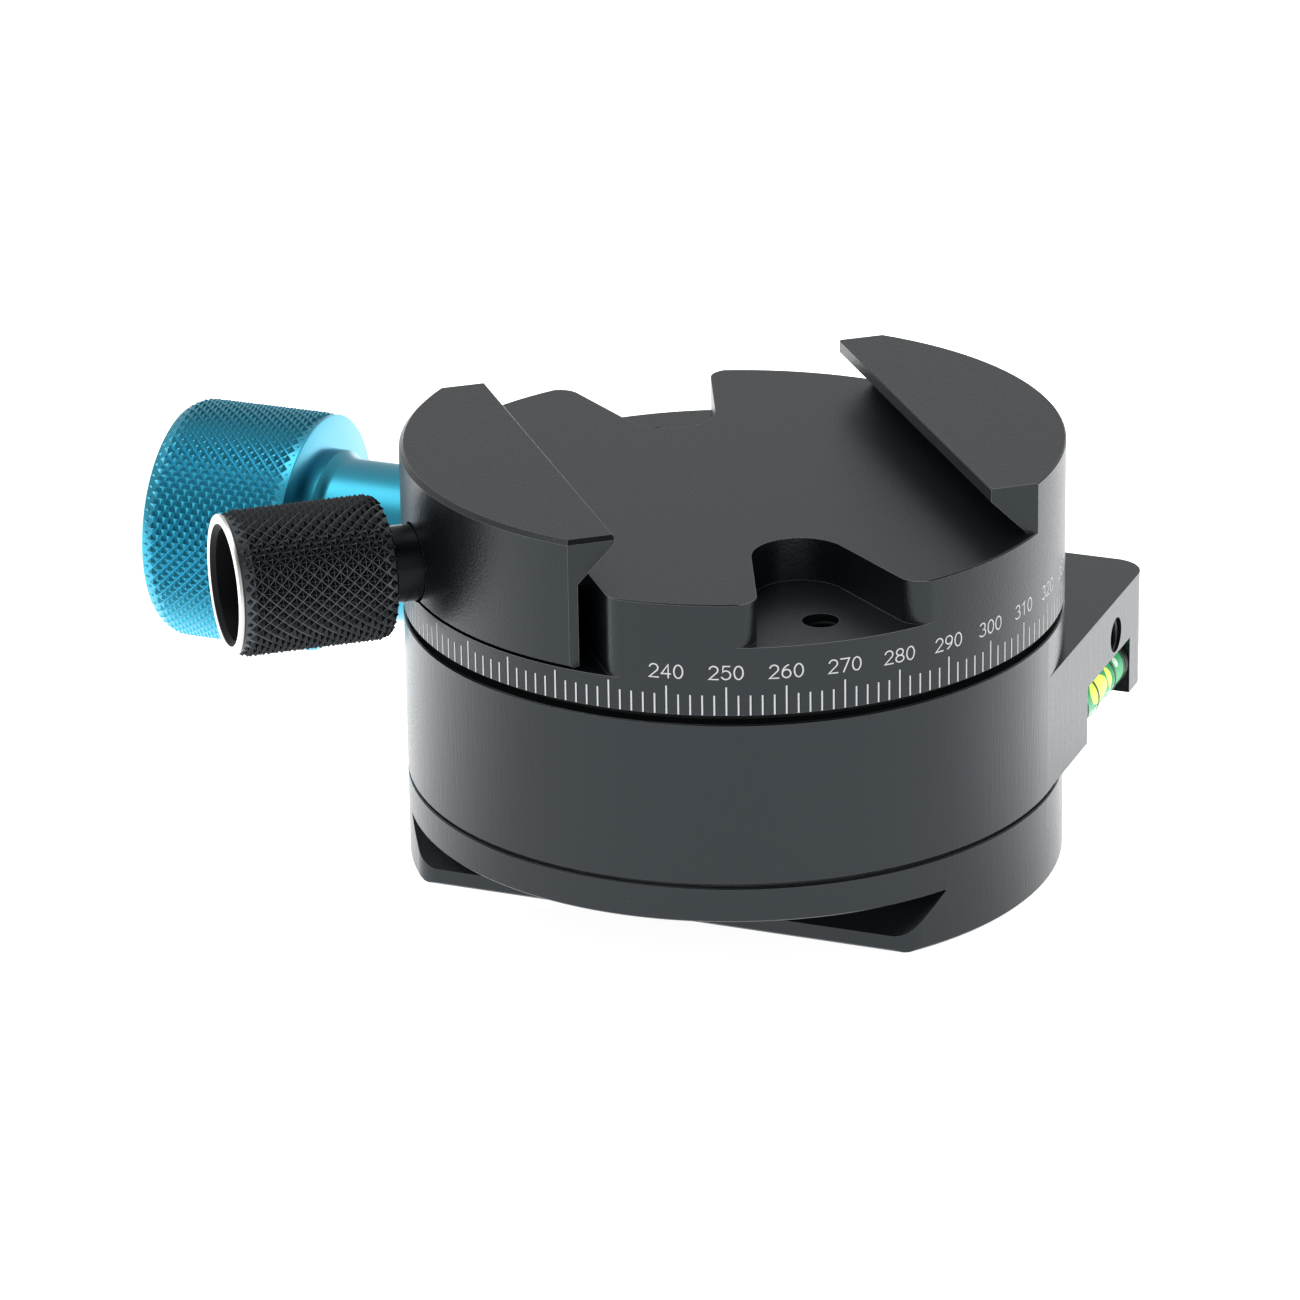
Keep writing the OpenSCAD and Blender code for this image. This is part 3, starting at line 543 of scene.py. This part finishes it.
# %% [markdown]
# ## The clamp knob
#
# A slim black grip with a bright ring at its open end: after the anodising, the end was
# faced once more on the lathe, which bared the metal. Inside, the knob is hollow. The core is
# a lathe profile, and the knurl tree covers it with pyramids.

# %% Clamp knob: core, knurl and bright ring
knob_low, knob_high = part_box("clamp_knob")
stem_end, grip_out = -knob_high.x / MM, -knob_low.x / MM
GRIP_R = (knob_high.z - knob_low.z) / 2 / MM
GRIP_LEN = 14.6
STEM_R = 3.45
HOLLOW_R = 5.05
HOLLOW_LEN = 10.5
KNURL_DEPTH = 0.5
grip_in = grip_out - GRIP_LEN
core_r = GRIP_R - KNURL_DEPTH + 0.055
RING_R = 6.35
clamp_grip = lathe("clamp_knob_grip", [
    (0, stem_end), (STEM_R - 0.2, stem_end), (STEM_R, stem_end + 0.2), (STEM_R, grip_in - 0.25),
    (STEM_R + 0.25, grip_in), (core_r - 0.75, grip_in), (core_r - 0.2, grip_in + 0.25),
    (core_r, grip_in + 1.0),
    (core_r, grip_out - 0.5), (RING_R - 0.12, grip_out - 0.42), (RING_R - 0.12, grip_out - 0.34)])
clamp_grip.data.materials.append(stem_black)
clamp_grip.data.materials.append(groove_black)
for face in clamp_grip.data.polygons:
    if face.center.z > (grip_in + 0.3) * MM:
        face.material_index = 1
run_tree(clamp_grip, knurl_tree, around=34, rows=23, start=(grip_in + 0.05) * MM,
         end=(grip_out - 0.3) * MM, tip_radius=GRIP_R * MM, depth=KNURL_DEPTH * MM,
         flat=0.05, round=1.2 * MM, finish=knurl_black)
bake(clamp_grip, clamp_line)
clamp_ring = lathe("clamp_knob_ring", [
    (RING_R - 0.12, grip_out - 0.34), (RING_R, grip_out - 0.3), (RING_R, grip_out - 0.14),
    (RING_R - 0.05, grip_out - 0.04), (RING_R - 0.14, grip_out), (HOLLOW_R + 0.5, grip_out),
    (HOLLOW_R + 0.44, grip_out - 0.04)])
clamp_ring.data.materials.append(ring_bright)
clamp_ring.data.transform(clamp_line)
hollow_end = grip_out - HOLLOW_LEN
clamp_hollow = lathe("clamp_knob_hollow", [
    (HOLLOW_R + 0.44, grip_out - 0.04), (HOLLOW_R, grip_out - 0.5), (HOLLOW_R, hollow_end + 0.4),
    (HOLLOW_R - 0.4, hollow_end), (0, hollow_end)])
# The knob's inside takes the dull black, partly its own black and partly painted shade in the hollow.
clamp_hollow.data.materials.append(hollow_black)
clamp_hollow.data.transform(clamp_line)
clamp_hollow.data.flip_normals()
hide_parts("clamp_knob")
for piece in (clamp_grip, clamp_ring, clamp_hollow):
    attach(piece, "clamp_knob")
print("clamp knob:", len(clamp_grip.data.polygons), "faces")

# %% [markdown]
# ## The lock knob
#
# The larger grip locks the turning. It is the same knurl on a blue core, with a rounded
# outer rim, a sunk end face, and a collar and a plain neck on its inner side.

# %% Lock knob: core and knurl
LOCK_GRIP_R = 11.6
LOCK_GRIP_LEN = 14.8
LOCK_NECK_R = 7.5
LOCK_NOSE_R = 3.4
LOCK_COLLAR_R = 8.2
lock_points = [lock_line.inverted() @ v.co for v in frame["nodes"]["lock_knob"].data.vertices]
nose_end = min(p.z for p in lock_points) / MM
lock_out = max(p.z for p in lock_points) / MM
lock_in = lock_out - LOCK_GRIP_LEN
NOSE_LEN = 9.0
neck_in = nose_end + NOSE_LEN
LOCK_DEPTH = 0.38
SUNK = 0.6
lock_core = LOCK_GRIP_R - LOCK_DEPTH + 0.03
lock_grip = lathe("lock_knob_grip", [
    (0, nose_end), (LOCK_NOSE_R, nose_end), (LOCK_NOSE_R, neck_in), (LOCK_NECK_R - 0.5, neck_in),
    (LOCK_NECK_R - 0.15, neck_in + 0.15), (LOCK_NECK_R, neck_in + 0.5),
    (LOCK_NECK_R, lock_in - 2.3), (LOCK_NECK_R + 0.2, lock_in - 1.75),
    (LOCK_COLLAR_R - 0.12, lock_in - 1.4), (LOCK_COLLAR_R, lock_in - 1.28),
    (LOCK_COLLAR_R, lock_in), (LOCK_GRIP_R - 0.3, lock_in), (LOCK_GRIP_R - 0.1, lock_in + 0.1),
    (LOCK_GRIP_R - 0.1, lock_in + 0.25), (lock_core, lock_in + 0.4), (lock_core, lock_out - 1.0),
    (lock_core - 0.25, lock_out - 0.4), (lock_core - 0.8, lock_out - 0.05),
    (lock_core - 1.4, lock_out), (lock_core - 2.2, lock_out),
    (lock_core - 2.6, lock_out - SUNK), (0, lock_out - SUNK)])
lock_grip.data.materials.append(blue)
run_tree(lock_grip, knurl_tree, around=62, rows=24, start=(lock_in + 0.05) * MM,
         end=(lock_out - 0.35) * MM, tip_radius=LOCK_GRIP_R * MM, depth=LOCK_DEPTH * MM,
         flat=0.16, round=1.4 * MM, finish=blue)
bake(lock_grip, lock_line)
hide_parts("lock_knob")
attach(lock_grip, "lock_knob")
print("lock knob: %d faces, from %.1f to %.1f"
      % (len(lock_grip.data.polygons), nose_end, lock_out))

# %% [markdown]
# ## The engraved scale
#
# The deck's rim carries a mark every 2 degrees and a longer one every 10. They are cut and
# filled with white paint, so each is a thin white bar that stands flush with the rim. A tree
# places a bar for each point of a line and stretches every fifth one.

# %% The scale tree
scale_tree, scale_in, scale_out = new_tree("scale_marks", [
    ("Count", "Int"), ("Step", "Float"), ("First", "Float"), ("Radius", "Float"),
    ("Foot", "Float"), ("Short", "Float"), ("Long", "Float"), ("Width", "Float"),
    ("Depth", "Float"), ("Finish", "Material")])
s = scale_in.outputs
points = put(scale_tree, "GeometryNodeMeshLine", {"Count": s["Count"]})
index = put(scale_tree, "GeometryNodeInputIndex").outputs[0]
angle = math_node(scale_tree, "ADD",
                  math_node(scale_tree, "MULTIPLY", index, s["Step"]), s["First"])
fifth = math_node(scale_tree, "LESS_THAN", math_node(scale_tree, "MODULO", index, 5.0), 0.5)
extra = math_node(scale_tree, "MULTIPLY",
                  math_node(scale_tree, "SUBTRACT", s["Long"], s["Short"]), fifth)
tall = math_node(scale_tree, "ADD", s["Short"], extra)
bar_z = math_node(scale_tree, "ADD", s["Foot"], math_node(scale_tree, "MULTIPLY", tall, 0.5))
bar_r = math_node(scale_tree, "SUBTRACT", s["Radius"],
                  math_node(scale_tree, "MULTIPLY", s["Depth"], 0.5))
spot = put(scale_tree, "ShaderNodeCombineXYZ", {
    0: math_node(scale_tree, "MULTIPLY", bar_r, math_node(scale_tree, "COSINE", angle)),
    1: math_node(scale_tree, "MULTIPLY", bar_r, math_node(scale_tree, "SINE", angle)), 2: bar_z})
placed = put(scale_tree, "GeometryNodeSetPosition", {
    0: points.outputs[0], "Position": spot.outputs[0]})
bar = put(scale_tree, "GeometryNodeMeshCube")
size = put(scale_tree, "ShaderNodeCombineXYZ", {0: s["Depth"], 1: s["Width"], 2: tall})
turn = put(scale_tree, "ShaderNodeCombineXYZ", {0: 0.0, 1: 0.0, 2: angle})
bars = put(scale_tree, "GeometryNodeInstanceOnPoints", {
    "Points": placed.outputs[0], "Instance": bar.outputs[0],
    "Rotation": turn.outputs[0], "Scale": size.outputs[0]})
real = put(scale_tree, "GeometryNodeRealizeInstances", {0: bars.outputs[0]})
painted = put(scale_tree, "GeometryNodeSetMaterial", {
    0: real.outputs[0], "Material": s["Finish"]})
scale_tree.links.new(painted.outputs[0], scale_out.inputs[0])

# %% [markdown]
# ## Marks round the deck
#
# The tree runs three times: for the white marks, for a dark bar behind each mark, painted shade of
# the cut's wall that shows as a thin dark line at one side, and for the single index mark on the
# fixed body.

# %% Marks round the deck, and one index mark on the body
SCALE_SHIFT = 1.0
MARK_STEP = 2
MARK_SHORT, MARK_LONG, MARK_WIDTH = 1.98, 2.76, 0.15
MARK_FOOT, MARK_DEPTH = 0.12, 0.06
FLUSH = 0.003 * MM
SHADE_SHIFT, SHADE_EXTRA = 0.03, 0.06
INDEX_ANGLE, INDEX_LEN, INDEX_WIDTH = 45, 2.6, 0.3


def marks(name, body, **sizes):
    """Runs the scale tree as a new piece of the given body."""
    piece = add_mesh(name, bpy.data.meshes.new(name))
    run_tree(piece, scale_tree, depth=MARK_DEPTH * MM, **sizes)
    bake(piece)
    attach(piece, body)
    return piece


first_mark = math.radians(SCALE_SHIFT)
round_deck = dict(count=360 // MARK_STEP, step=math.radians(MARK_STEP),
                  foot=deck_z + MARK_FOOT * MM, short=(MARK_SHORT - MARK_FOOT) * MM,
                  long=(MARK_LONG - MARK_FOOT) * MM)
scale_marks = marks("scale_marks", "deck", first=first_mark, radius=deck_r + FLUSH,
                    width=MARK_WIDTH * MM, finish=scale_white, **round_deck)
# A dark bar, a little wider and shifted, behind each white mark: painted shade along one side of the cut.
marks("groove_walls", "deck", first=first_mark + SHADE_SHIFT * MM / deck_r,
      radius=deck_r + FLUSH / 2, width=(MARK_WIDTH + SHADE_EXTRA) * MM,
      finish=hollow_black, **round_deck)
marks("index_mark", "body", count=1, step=0.0, first=body_turn + math.radians(INDEX_ANGLE),
      radius=deck_r + FLUSH, foot=body_top - 3.2 * MM, short=INDEX_LEN * MM,
      long=INDEX_LEN * MM, width=INDEX_WIDTH * MM, finish=scale_white)
print("marks:", len(scale_marks.data.polygons) // 6)

# %% [markdown]
# ## Numbers on the scale
#
# Plain numerals stand over every tenth degree. An engraving machine cuts them with a single
# round cutter, so each numeral here is a path, and the path is widened to a ribbon with round
# ends. The ribbon is bent round the rim: its x becomes an angle and its y a height. Where the
# sliding jaw's ledge cuts the rim away there is no room for a number.

# %% The cutter's paths, in a cell 0.6 wide and 1 high
def arc(cx, cy, rx, ry, first, last, steps=14):
    """Points of an elliptic arc, from one angle to another in degrees."""
    angles = [math.radians(first + (last - first) * i / steps) for i in range(steps + 1)]
    return [(cx + rx * math.cos(a), cy + ry * math.sin(a)) for a in angles]


def turned_round(path):
    """A path turned by half a turn in its cell."""
    return [(0.6 - x, 1 - y) for x, y in path]


six = [arc(0.3, 0.31, 0.28, 0.31, 0, 360, 24), arc(0.62, 0.34, 0.6, 0.66, 176, 108)]
numerals = {
    "0": [arc(0.3, 0.5, 0.29, 0.5, 0, 360, 28)],
    "1": [[(0.12, 0.8), (0.34, 1.0), (0.34, 0.0)]],
    "2": [arc(0.3, 0.71, 0.28, 0.29, 165, -38) + [(0.0, 0.0), (0.6, 0.0)]],
    "3": [arc(0.28, 0.755, 0.25, 0.245, 150, -80) + arc(0.28, 0.265, 0.31, 0.265, 80, -150)],
    "4": [[(0.45, 0.0), (0.45, 1.0), (0.0, 0.3), (0.6, 0.3)]],
    "5": [[(0.54, 1.0), (0.12, 1.0), (0.06, 0.54)] + arc(0.28, 0.33, 0.31, 0.33, 128, -150)],
    "6": six,
    "7": [[(0.0, 1.0), (0.6, 1.0), (0.2, 0.0)]],
    "8": [arc(0.3, 0.755, 0.25, 0.245, 0, 360, 24), arc(0.3, 0.255, 0.3, 0.255, 0, 360, 24)],
    "9": [turned_round(path) for path in six]}

# %% [markdown]
# ## From path to numeral
#
# A path has no width, so each point is moved half the cutter's width to both sides. A flat
# curve could do that as well, but it would have to be made a mesh before it is bent, and here
# the bend round the rim is the same step. Each path of a numeral lies a hair further out than
# the one before it, so that two paths that cross don't flicker.

# %% Widen the paths and bend them round the rim
DIGIT_HEIGHT, DIGIT_SPREAD, DIGIT_PITCH, CUT_WIDTH = 1.22, 1.32, 1.08, 0.125
NUMBER_FOOT = 3.5
LEDGE_EDGE = 18.8
LAYER_GAP = 0.0008


def ribbon(path, half_width):
    """The left and right sides of a path, with round ends where it is open."""
    closed = math.dist(path[0], path[-1]) < 0.001
    points = path[:-1] if closed else path
    sides = []
    for i, (x, y) in enumerate(points):
        before = points[i - 1] if i or closed else (x, y)
        after = points[(i + 1) % len(points)] if i + 1 < len(points) or closed else (x, y)
        out = math.atan2(y - before[1], x - before[0]) if before != (x, y) else None
        on = math.atan2(after[1] - y, after[0] - x) if after != (x, y) else out
        out = on if out is None else out
        bend = math.atan2(math.sin(on - out), math.cos(on - out)) / 2
        reach = half_width / max(math.cos(bend), 0.5)
        a = out + bend + math.pi / 2
        sides.append(((x + reach * math.cos(a), y + reach * math.sin(a)),
                      (x - reach * math.cos(a), y - reach * math.sin(a))))
    return points, sides, closed


def cut(bm, path, half_width, place):
    """Adds one widened path to bm. place turns a flat point into a point of the rim."""
    points, sides, closed = ribbon(path, half_width)
    rails = [[bm.verts.new(place(*p)) for p in pair] for pair in sides]
    count = len(rails)
    for i in range(count if closed else count - 1):
        a, b = rails[i], rails[(i + 1) % count]
        bm.faces.new((a[0], a[1], b[1], b[0]))
    if closed:
        return
    for (x, y), pair, step in ((points[0], rails[0], 1), (points[-1], rails[-1], -1)):
        left = sides[0 if step == 1 else -1][0]
        start = math.atan2(left[1] - y, left[0] - x)
        cap = [bm.verts.new(place(x + half_width * math.cos(start + step * math.pi * k / 6),
                                  y + half_width * math.sin(start + step * math.pi * k / 6)))
               for k in range(1, 6)]
        bm.faces.new([pair[0], *cap, pair[1]])


numbers = bmesh.new()
ledge_angle = math.degrees(math.acos(LEDGE_EDGE * MM / deck_r)) + 1
for label in range(0, 360, 10):
    middle_angle = label + SCALE_SHIFT
    if abs(middle_angle - 180) < ledge_angle:
        continue
    digits = str(label)
    start_x = -((len(digits) - 1) * DIGIT_PITCH + 0.6 * DIGIT_SPREAD) / 2
    for d, digit in enumerate(digits):
        for layer, path in enumerate(numerals[digit]):
            def place(x, y, layer=layer, shift=start_x + d * DIGIT_PITCH, at=middle_angle):
                """Bends a point of the cell round the rim."""
                a = math.radians(at) + (shift + x * DIGIT_SPREAD) * MM / deck_r
                r = deck_r + FLUSH + layer * LAYER_GAP * MM
                z = deck_z + (NUMBER_FOOT + y * DIGIT_HEIGHT) * MM
                return (r * math.cos(a), r * math.sin(a), z)
            cut(numbers, path, CUT_WIDTH / DIGIT_HEIGHT / 2, place)
for face in numbers.faces:
    middle_point = face.calc_center_median()
    face.normal_update()
    if face.normal.dot(Vector((middle_point.x, middle_point.y, 0))) < 0:
        face.normal_flip()
number_mesh = bpy.data.meshes.new("scale_numbers")
numbers.to_mesh(number_mesh)
numbers.free()
scale_numbers = add_mesh("scale_numbers", number_mesh)
scale_numbers.data.materials.append(scale_white)
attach(scale_numbers, "deck")
print("numbers:", len(number_mesh.polygons), "faces")

# %% [markdown]
# ## Threads in the open holes
#
# A tapped hole shows fine rings because one long ridge climbs its wall like a winding stair. A
# helix is a path, and Geometry Nodes sweep a small round section along it, which needs
# no screw modelling at all. Most of the section sinks into the wall, and the rest is the ridge.

# %% The thread tree
thread_tree, thread_in, thread_out = new_tree("hole_thread", [
    ("Radius", "Float"), ("Bead", "Float"), ("Turns", "Float"), ("Length", "Float"),
    ("Finish", "Material")])
h = thread_in.outputs
helix = put(thread_tree, "GeometryNodeCurveSpiral", {
    "Resolution": 40, "Rotations": h["Turns"], "Start Radius": h["Radius"],
    "End Radius": h["Radius"], "Height": h["Length"]})
section = put(thread_tree, "GeometryNodeCurvePrimitiveCircle", {
    "Resolution": 8, "Radius": h["Bead"]})
ridge = put(thread_tree, "GeometryNodeCurveToMesh", {
    "Curve": helix.outputs[0], "Profile Curve": section.outputs[0], "Fill Caps": True})
real = put(thread_tree, "GeometryNodeRealizeInstances", {0: ridge.outputs[0]})
painted = put(thread_tree, "GeometryNodeSetMaterial", {
    0: real.outputs[0], "Material": h["Finish"]})
thread_tree.links.new(painted.outputs[0], thread_out.inputs[0])

# %% [markdown]
# ## One ridge for each open hole
#
# The wall radius and the pitch are those of the hole: 0.7 mm for the three M4 holes, and 16
# turns to the inch for the tripod thread. The ridge ends inside the hole, so that the
# hole's own edge stays clean.

# %% Threads of the block, the pockets and the tripod hole
M4_WALL, M4_PITCH, M4_CREST = 1.65, 0.7, 0.2
TRIPOD_WALL, TRIPOD_PITCH, TRIPOD_CREST = 3.99, 25.4 / 16, 0.35


def thread(name, body, place, wall_r, crest, pitch, length, material):
    """A ridge that stands crest high on a hole's wall, from 0 to length up its own Z."""
    bead = 1.3 * crest
    obj = add_mesh(name, bpy.data.meshes.new(name))
    run_tree(obj, thread_tree, radius=(wall_r - crest + bead) * MM, bead=bead * MM,
             turns=(length - 2 * bead) / pitch, length=(length - 2 * bead) * MM, finish=material)
    bake(obj, place @ Matrix.Translation((0, 0, bead * MM)))
    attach(obj, body)


BLOCK_FACE, BLOCK_THREAD, MOUTH = 30.0, 2.3, 0.15
thread("block_hole_thread", "body",
       along(lock_origin + lock_axis * (BLOCK_FACE - BLOCK_THREAD - MOUTH) * MM, lock_axis),
       M4_WALL, M4_CREST, M4_PITCH, BLOCK_THREAD, body_black)
POCKET_FLOOR, POCKET_HOLE_Y, POCKET_DEPTH, POCKET_THREAD = 31.0, 24.9, 4.6, 4.2
# The pocket threads take the dull black, painted shade that keeps these holes dark.
for side, name in ((-1, "front"), (1, "rear")):
    thread("pocket_thread_" + name, "deck",
           Matrix.Translation(Vector((0, side * POCKET_HOLE_Y, POCKET_FLOOR - POCKET_DEPTH)) * MM),
           M4_WALL, M4_CREST, M4_PITCH, POCKET_THREAD, hollow_black)
TRIPOD_START, TRIPOD_THREAD = 0.25, 6.7
thread("tripod_hole_thread", "body", Matrix.Translation(Vector((0, 0, TRIPOD_START)) * MM),
       TRIPOD_WALL, TRIPOD_CREST, TRIPOD_PITCH, TRIPOD_THREAD, bright_steel)
print("threads made")

# %% [markdown]
# ## Inside the level
#
# The bubble lies at the top of the vial, under the notch's roof, and is seen through a round
# column of fluid. The fluid acts as a lens and spreads the bubble's bright image over the
# side that faces out. That image is painted: thin curved glowing patches between the fluid and
# the glass, a painted refraction, with one small white patch as a painted highlight. Two ink
# rings on the glass say where the bubble belongs.

# %% Fluid, glass, ink rings, and the bubble's image and a glint as painted glows
vial_axis = Vector((-math.sin(body_turn), math.cos(body_turn), 0))
vial_line = along(middle("vial_tube"), vial_axis)
VIAL_R, LINE_AT = 2.35, 2.55
TUBE_HALF = 5.65
GLASS_IN, FLUID_SEEN = 2.3, 2.2
FLUID_HALF = TUBE_HALF - 0.3
fluid = lathe("vial_fluid_seen", [
    (0, -FLUID_HALF), (FLUID_SEEN, -FLUID_HALF), (FLUID_SEEN, FLUID_HALF), (0, FLUID_HALF)],
    steps=96)
fluid.data.transform(vial_line)
fluid.data.materials.append(vial_green)
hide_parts("vial_fluid")
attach(fluid, "body")
glass_tube = lathe("vial_glass_tube", [
    (GLASS_IN, -TUBE_HALF), (VIAL_R - 0.1, -TUBE_HALF), (VIAL_R, -TUBE_HALF + 0.1),
    (VIAL_R, TUBE_HALF - 0.1), (VIAL_R - 0.1, TUBE_HALF), (GLASS_IN, TUBE_HALF),
    (GLASS_IN, -TUBE_HALF)], steps=96)
glass_tube.data.transform(vial_line)
glass_tube.data.materials.append(vial_glass)
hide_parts("vial_tube")
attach(glass_tube, "body")
for i, at in enumerate((-LINE_AT, LINE_AT)):
    line = lathe("vial_line_%d" % (i + 1), [
        (VIAL_R - 0.05, at - 0.12), (VIAL_R + 0.012, at - 0.12), (VIAL_R + 0.012, at + 0.12),
        (VIAL_R - 0.05, at + 0.12), (VIAL_R - 0.05, at - 0.12)], steps=64)
    line.data.transform(vial_line)
    line.data.materials.append(vial_ink)
    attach(line, "body")


def patch(name, centre, half_length, tilt, half_angle, material):
    """An oval patch wrapped on the fluid. Tilt is its angle from the top towards the outside."""
    rings, spokes = 6, 32
    bm = bmesh.new()
    grid = []
    for i in range(rings + 1):
        share = i / rings
        grid.append([])
        for j in range(spokes if i else 1):
            a = 2 * math.pi * j / spokes
            turn = math.radians(tilt + share * half_angle * math.sin(a))
            radius = (FLUID_SEEN + 0.02 + 0.05 * (1 - share * share)) * MM
            grid[-1].append(bm.verts.new((radius * math.cos(turn), radius * math.sin(turn),
                                          (centre + share * half_length * math.cos(a)) * MM)))
    for i in range(rings):
        inner, outer = grid[i], grid[i + 1]
        for j in range(spokes):
            n = (j + 1) % spokes
            corners = [inner[j % len(inner)], outer[j], outer[n], inner[n % len(inner)]]
            bm.faces.new(list(dict.fromkeys(corners)))
    for face in bm.faces:
        face.normal_update()
        spot = face.calc_center_median()
        if face.normal.dot(Vector((spot.x, spot.y, 0))) < 0:
            face.normal_flip()
    mesh = bpy.data.meshes.new(name)
    bm.to_mesh(mesh)
    bm.free()
    mesh.transform(vial_line)
    mesh.shade_smooth()
    obj = add_mesh(name, mesh)
    obj.data.materials.append(material)
    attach(obj, "body")


# Glowing patches: a painted refraction of the bubble, and a painted highlight.
patch("bubble_image", -1.9, 2.3, 72, 32, vial_yellow)
patch("bubble_image_end", 1.2, 0.55, 72, 28, vial_yellow)
patch("vial_glint", 3.7, 0.45, 58, 13, vial_white)
print("level dressed")

# %% [markdown]
# ## Floor, light and camera
#
# The head stands on a plain pale floor in a bright studio. The floor glows, so that it stays
# white behind the head, and it is a little less bright in front, where the black walls mirror
# it.

# %% Floor
floor_mesh = bpy.data.meshes.new("floor")
FLOOR = 4.0
floor_mesh.from_pydata([(-FLOOR, -FLOOR, 0), (FLOOR, -FLOOR, 0), (FLOOR, FLOOR, 0),
                        (-FLOOR, FLOOR, 0)], [], [(0, 1, 2, 3)])
floor = add_mesh("floor", floor_mesh)
floor_white, tree, shader = finish("floor_white", (0.3, 0.3, 0.3), rough=0.9)
floor_at = put(tree, "ShaderNodeSeparateXYZ", {0: object_coordinates(tree)})
to_right = remap(tree, floor_at.outputs["X"], 0.0, 0.06, 0.0, 0.048)
glow = remap(tree, math_node(tree, "ADD", floor_at.outputs["Y"], to_right), -0.01, 0.05)
tree.links.new(blend(tree, glow, (0.95, 0.95, 0.955), (1.85, 1.85, 1.85)),
               shader.inputs["Emission Color"])
shader.inputs["Emission Strength"].default_value = 1.0
floor_mesh.materials.append(floor_white)

# %% [markdown]
# ## Studio light
#
# Black metal shows its surroundings more than its own colour. So the world is a plain grey
# studio that is bright on the left and dark overhead on the camera's side, which keeps the
# front chamfers black as in the photograph. Two soft lights put glints on the knurls.

# %% World and soft lights
world = bpy.data.worlds.new("studio")
world.use_nodes = True
tree = world.node_tree
direction = put(tree, "ShaderNodeTexCoord").outputs["Generated"]
sky = put(tree, "ShaderNodeSeparateXYZ", {0: direction})
front_top = math_node(tree, "MULTIPLY", remap(tree, sky.outputs["Z"], 0.55, 0.8),
                      remap(tree, sky.outputs["Y"], 0.05, -0.2))
overhead = blend(tree, front_top, (0.54, 0.545, 0.55), (0.04, 0.04, 0.04))
leftward = put(tree, "ShaderNodeVectorMath", {
    0: direction, 1: (-1.0, 0.3, 0.0)}, operation="DOT_PRODUCT")
left_share = remap(tree, leftward.outputs["Value"], 0.06, 0.26)
with_left = blend(tree, left_share, (0.0, 0.0, 0.0), (0.6, 0.6, 0.6))
tree.links.new(overhead, with_left.node.inputs["A"])
tree.links.new(with_left, tree.nodes["Background"].inputs["Color"])
bpy.context.scene.world = world


def softbox(name, place, aim, width, height, power):
    """A rectangular soft light that faces a point."""
    light = bpy.data.lights.new(name, "AREA")
    light.shape = "RECTANGLE"
    light.size, light.size_y, light.energy = width, height, power
    obj = bpy.data.objects.new(name, light)
    obj.location = place
    obj.rotation_euler = (Vector(aim) - Vector(place)).to_track_quat("-Z", "Y").to_euler()
    bpy.context.scene.collection.objects.link(obj)


HEAD_MIDDLE = (0, 0, 0.02)
softbox("softbox_top", (-0.2, 0.16, 0.75), HEAD_MIDDLE, 0.4, 0.4, 1.6)
softbox("softbox_front", (0.35, -0.8, 0.3), HEAD_MIDDLE, 0.15, 0.3, 0.15)
bpy.context.scene.view_settings.view_transform = "Standard"

# %% [markdown]
# ## Camera
#
# The photograph was taken with a long lens from far off. Its place and lens were solved from
# the scale's evenly spaced marks, and are given here as plain numbers.

# %% Camera where the photograph's stood
CAMERA_AZ, CAMERA_EL, CAMERA_ROLL = 253.1975, 22.18375, -0.859086
CAMERA_PLACE = Vector((-0.166037, -0.523280, 0.242574))
FOCAL_PIXELS, FRAME_PIXELS, SENSOR = 6506.43, 1300, 36.0
az, el, roll = (math.radians(v) for v in (CAMERA_AZ, CAMERA_EL, CAMERA_ROLL))
back = Vector((math.cos(az) * math.cos(el), math.sin(az) * math.cos(el), math.sin(el)))
right = Vector((-math.sin(az), math.cos(az), 0))
above = back.cross(right)
camera_x = math.cos(roll) * right + math.sin(roll) * above
camera_y = math.cos(roll) * above - math.sin(roll) * right
camera_data = bpy.data.cameras.new("camera")
camera_data.sensor_width = SENSOR
camera_data.lens = FOCAL_PIXELS * SENSOR / FRAME_PIXELS
camera_data.clip_start, camera_data.clip_end = 0.01, 20.0
camera = bpy.data.objects.new("camera", camera_data)
bpy.context.scene.collection.objects.link(camera)
pose = Matrix((camera_x, camera_y, back)).transposed().to_4x4()
pose.translation = CAMERA_PLACE
camera.matrix_world = pose
bpy.context.scene.camera = camera
print("lens %.1f mm, looking down %.1f degrees" % (camera_data.lens, CAMERA_EL))
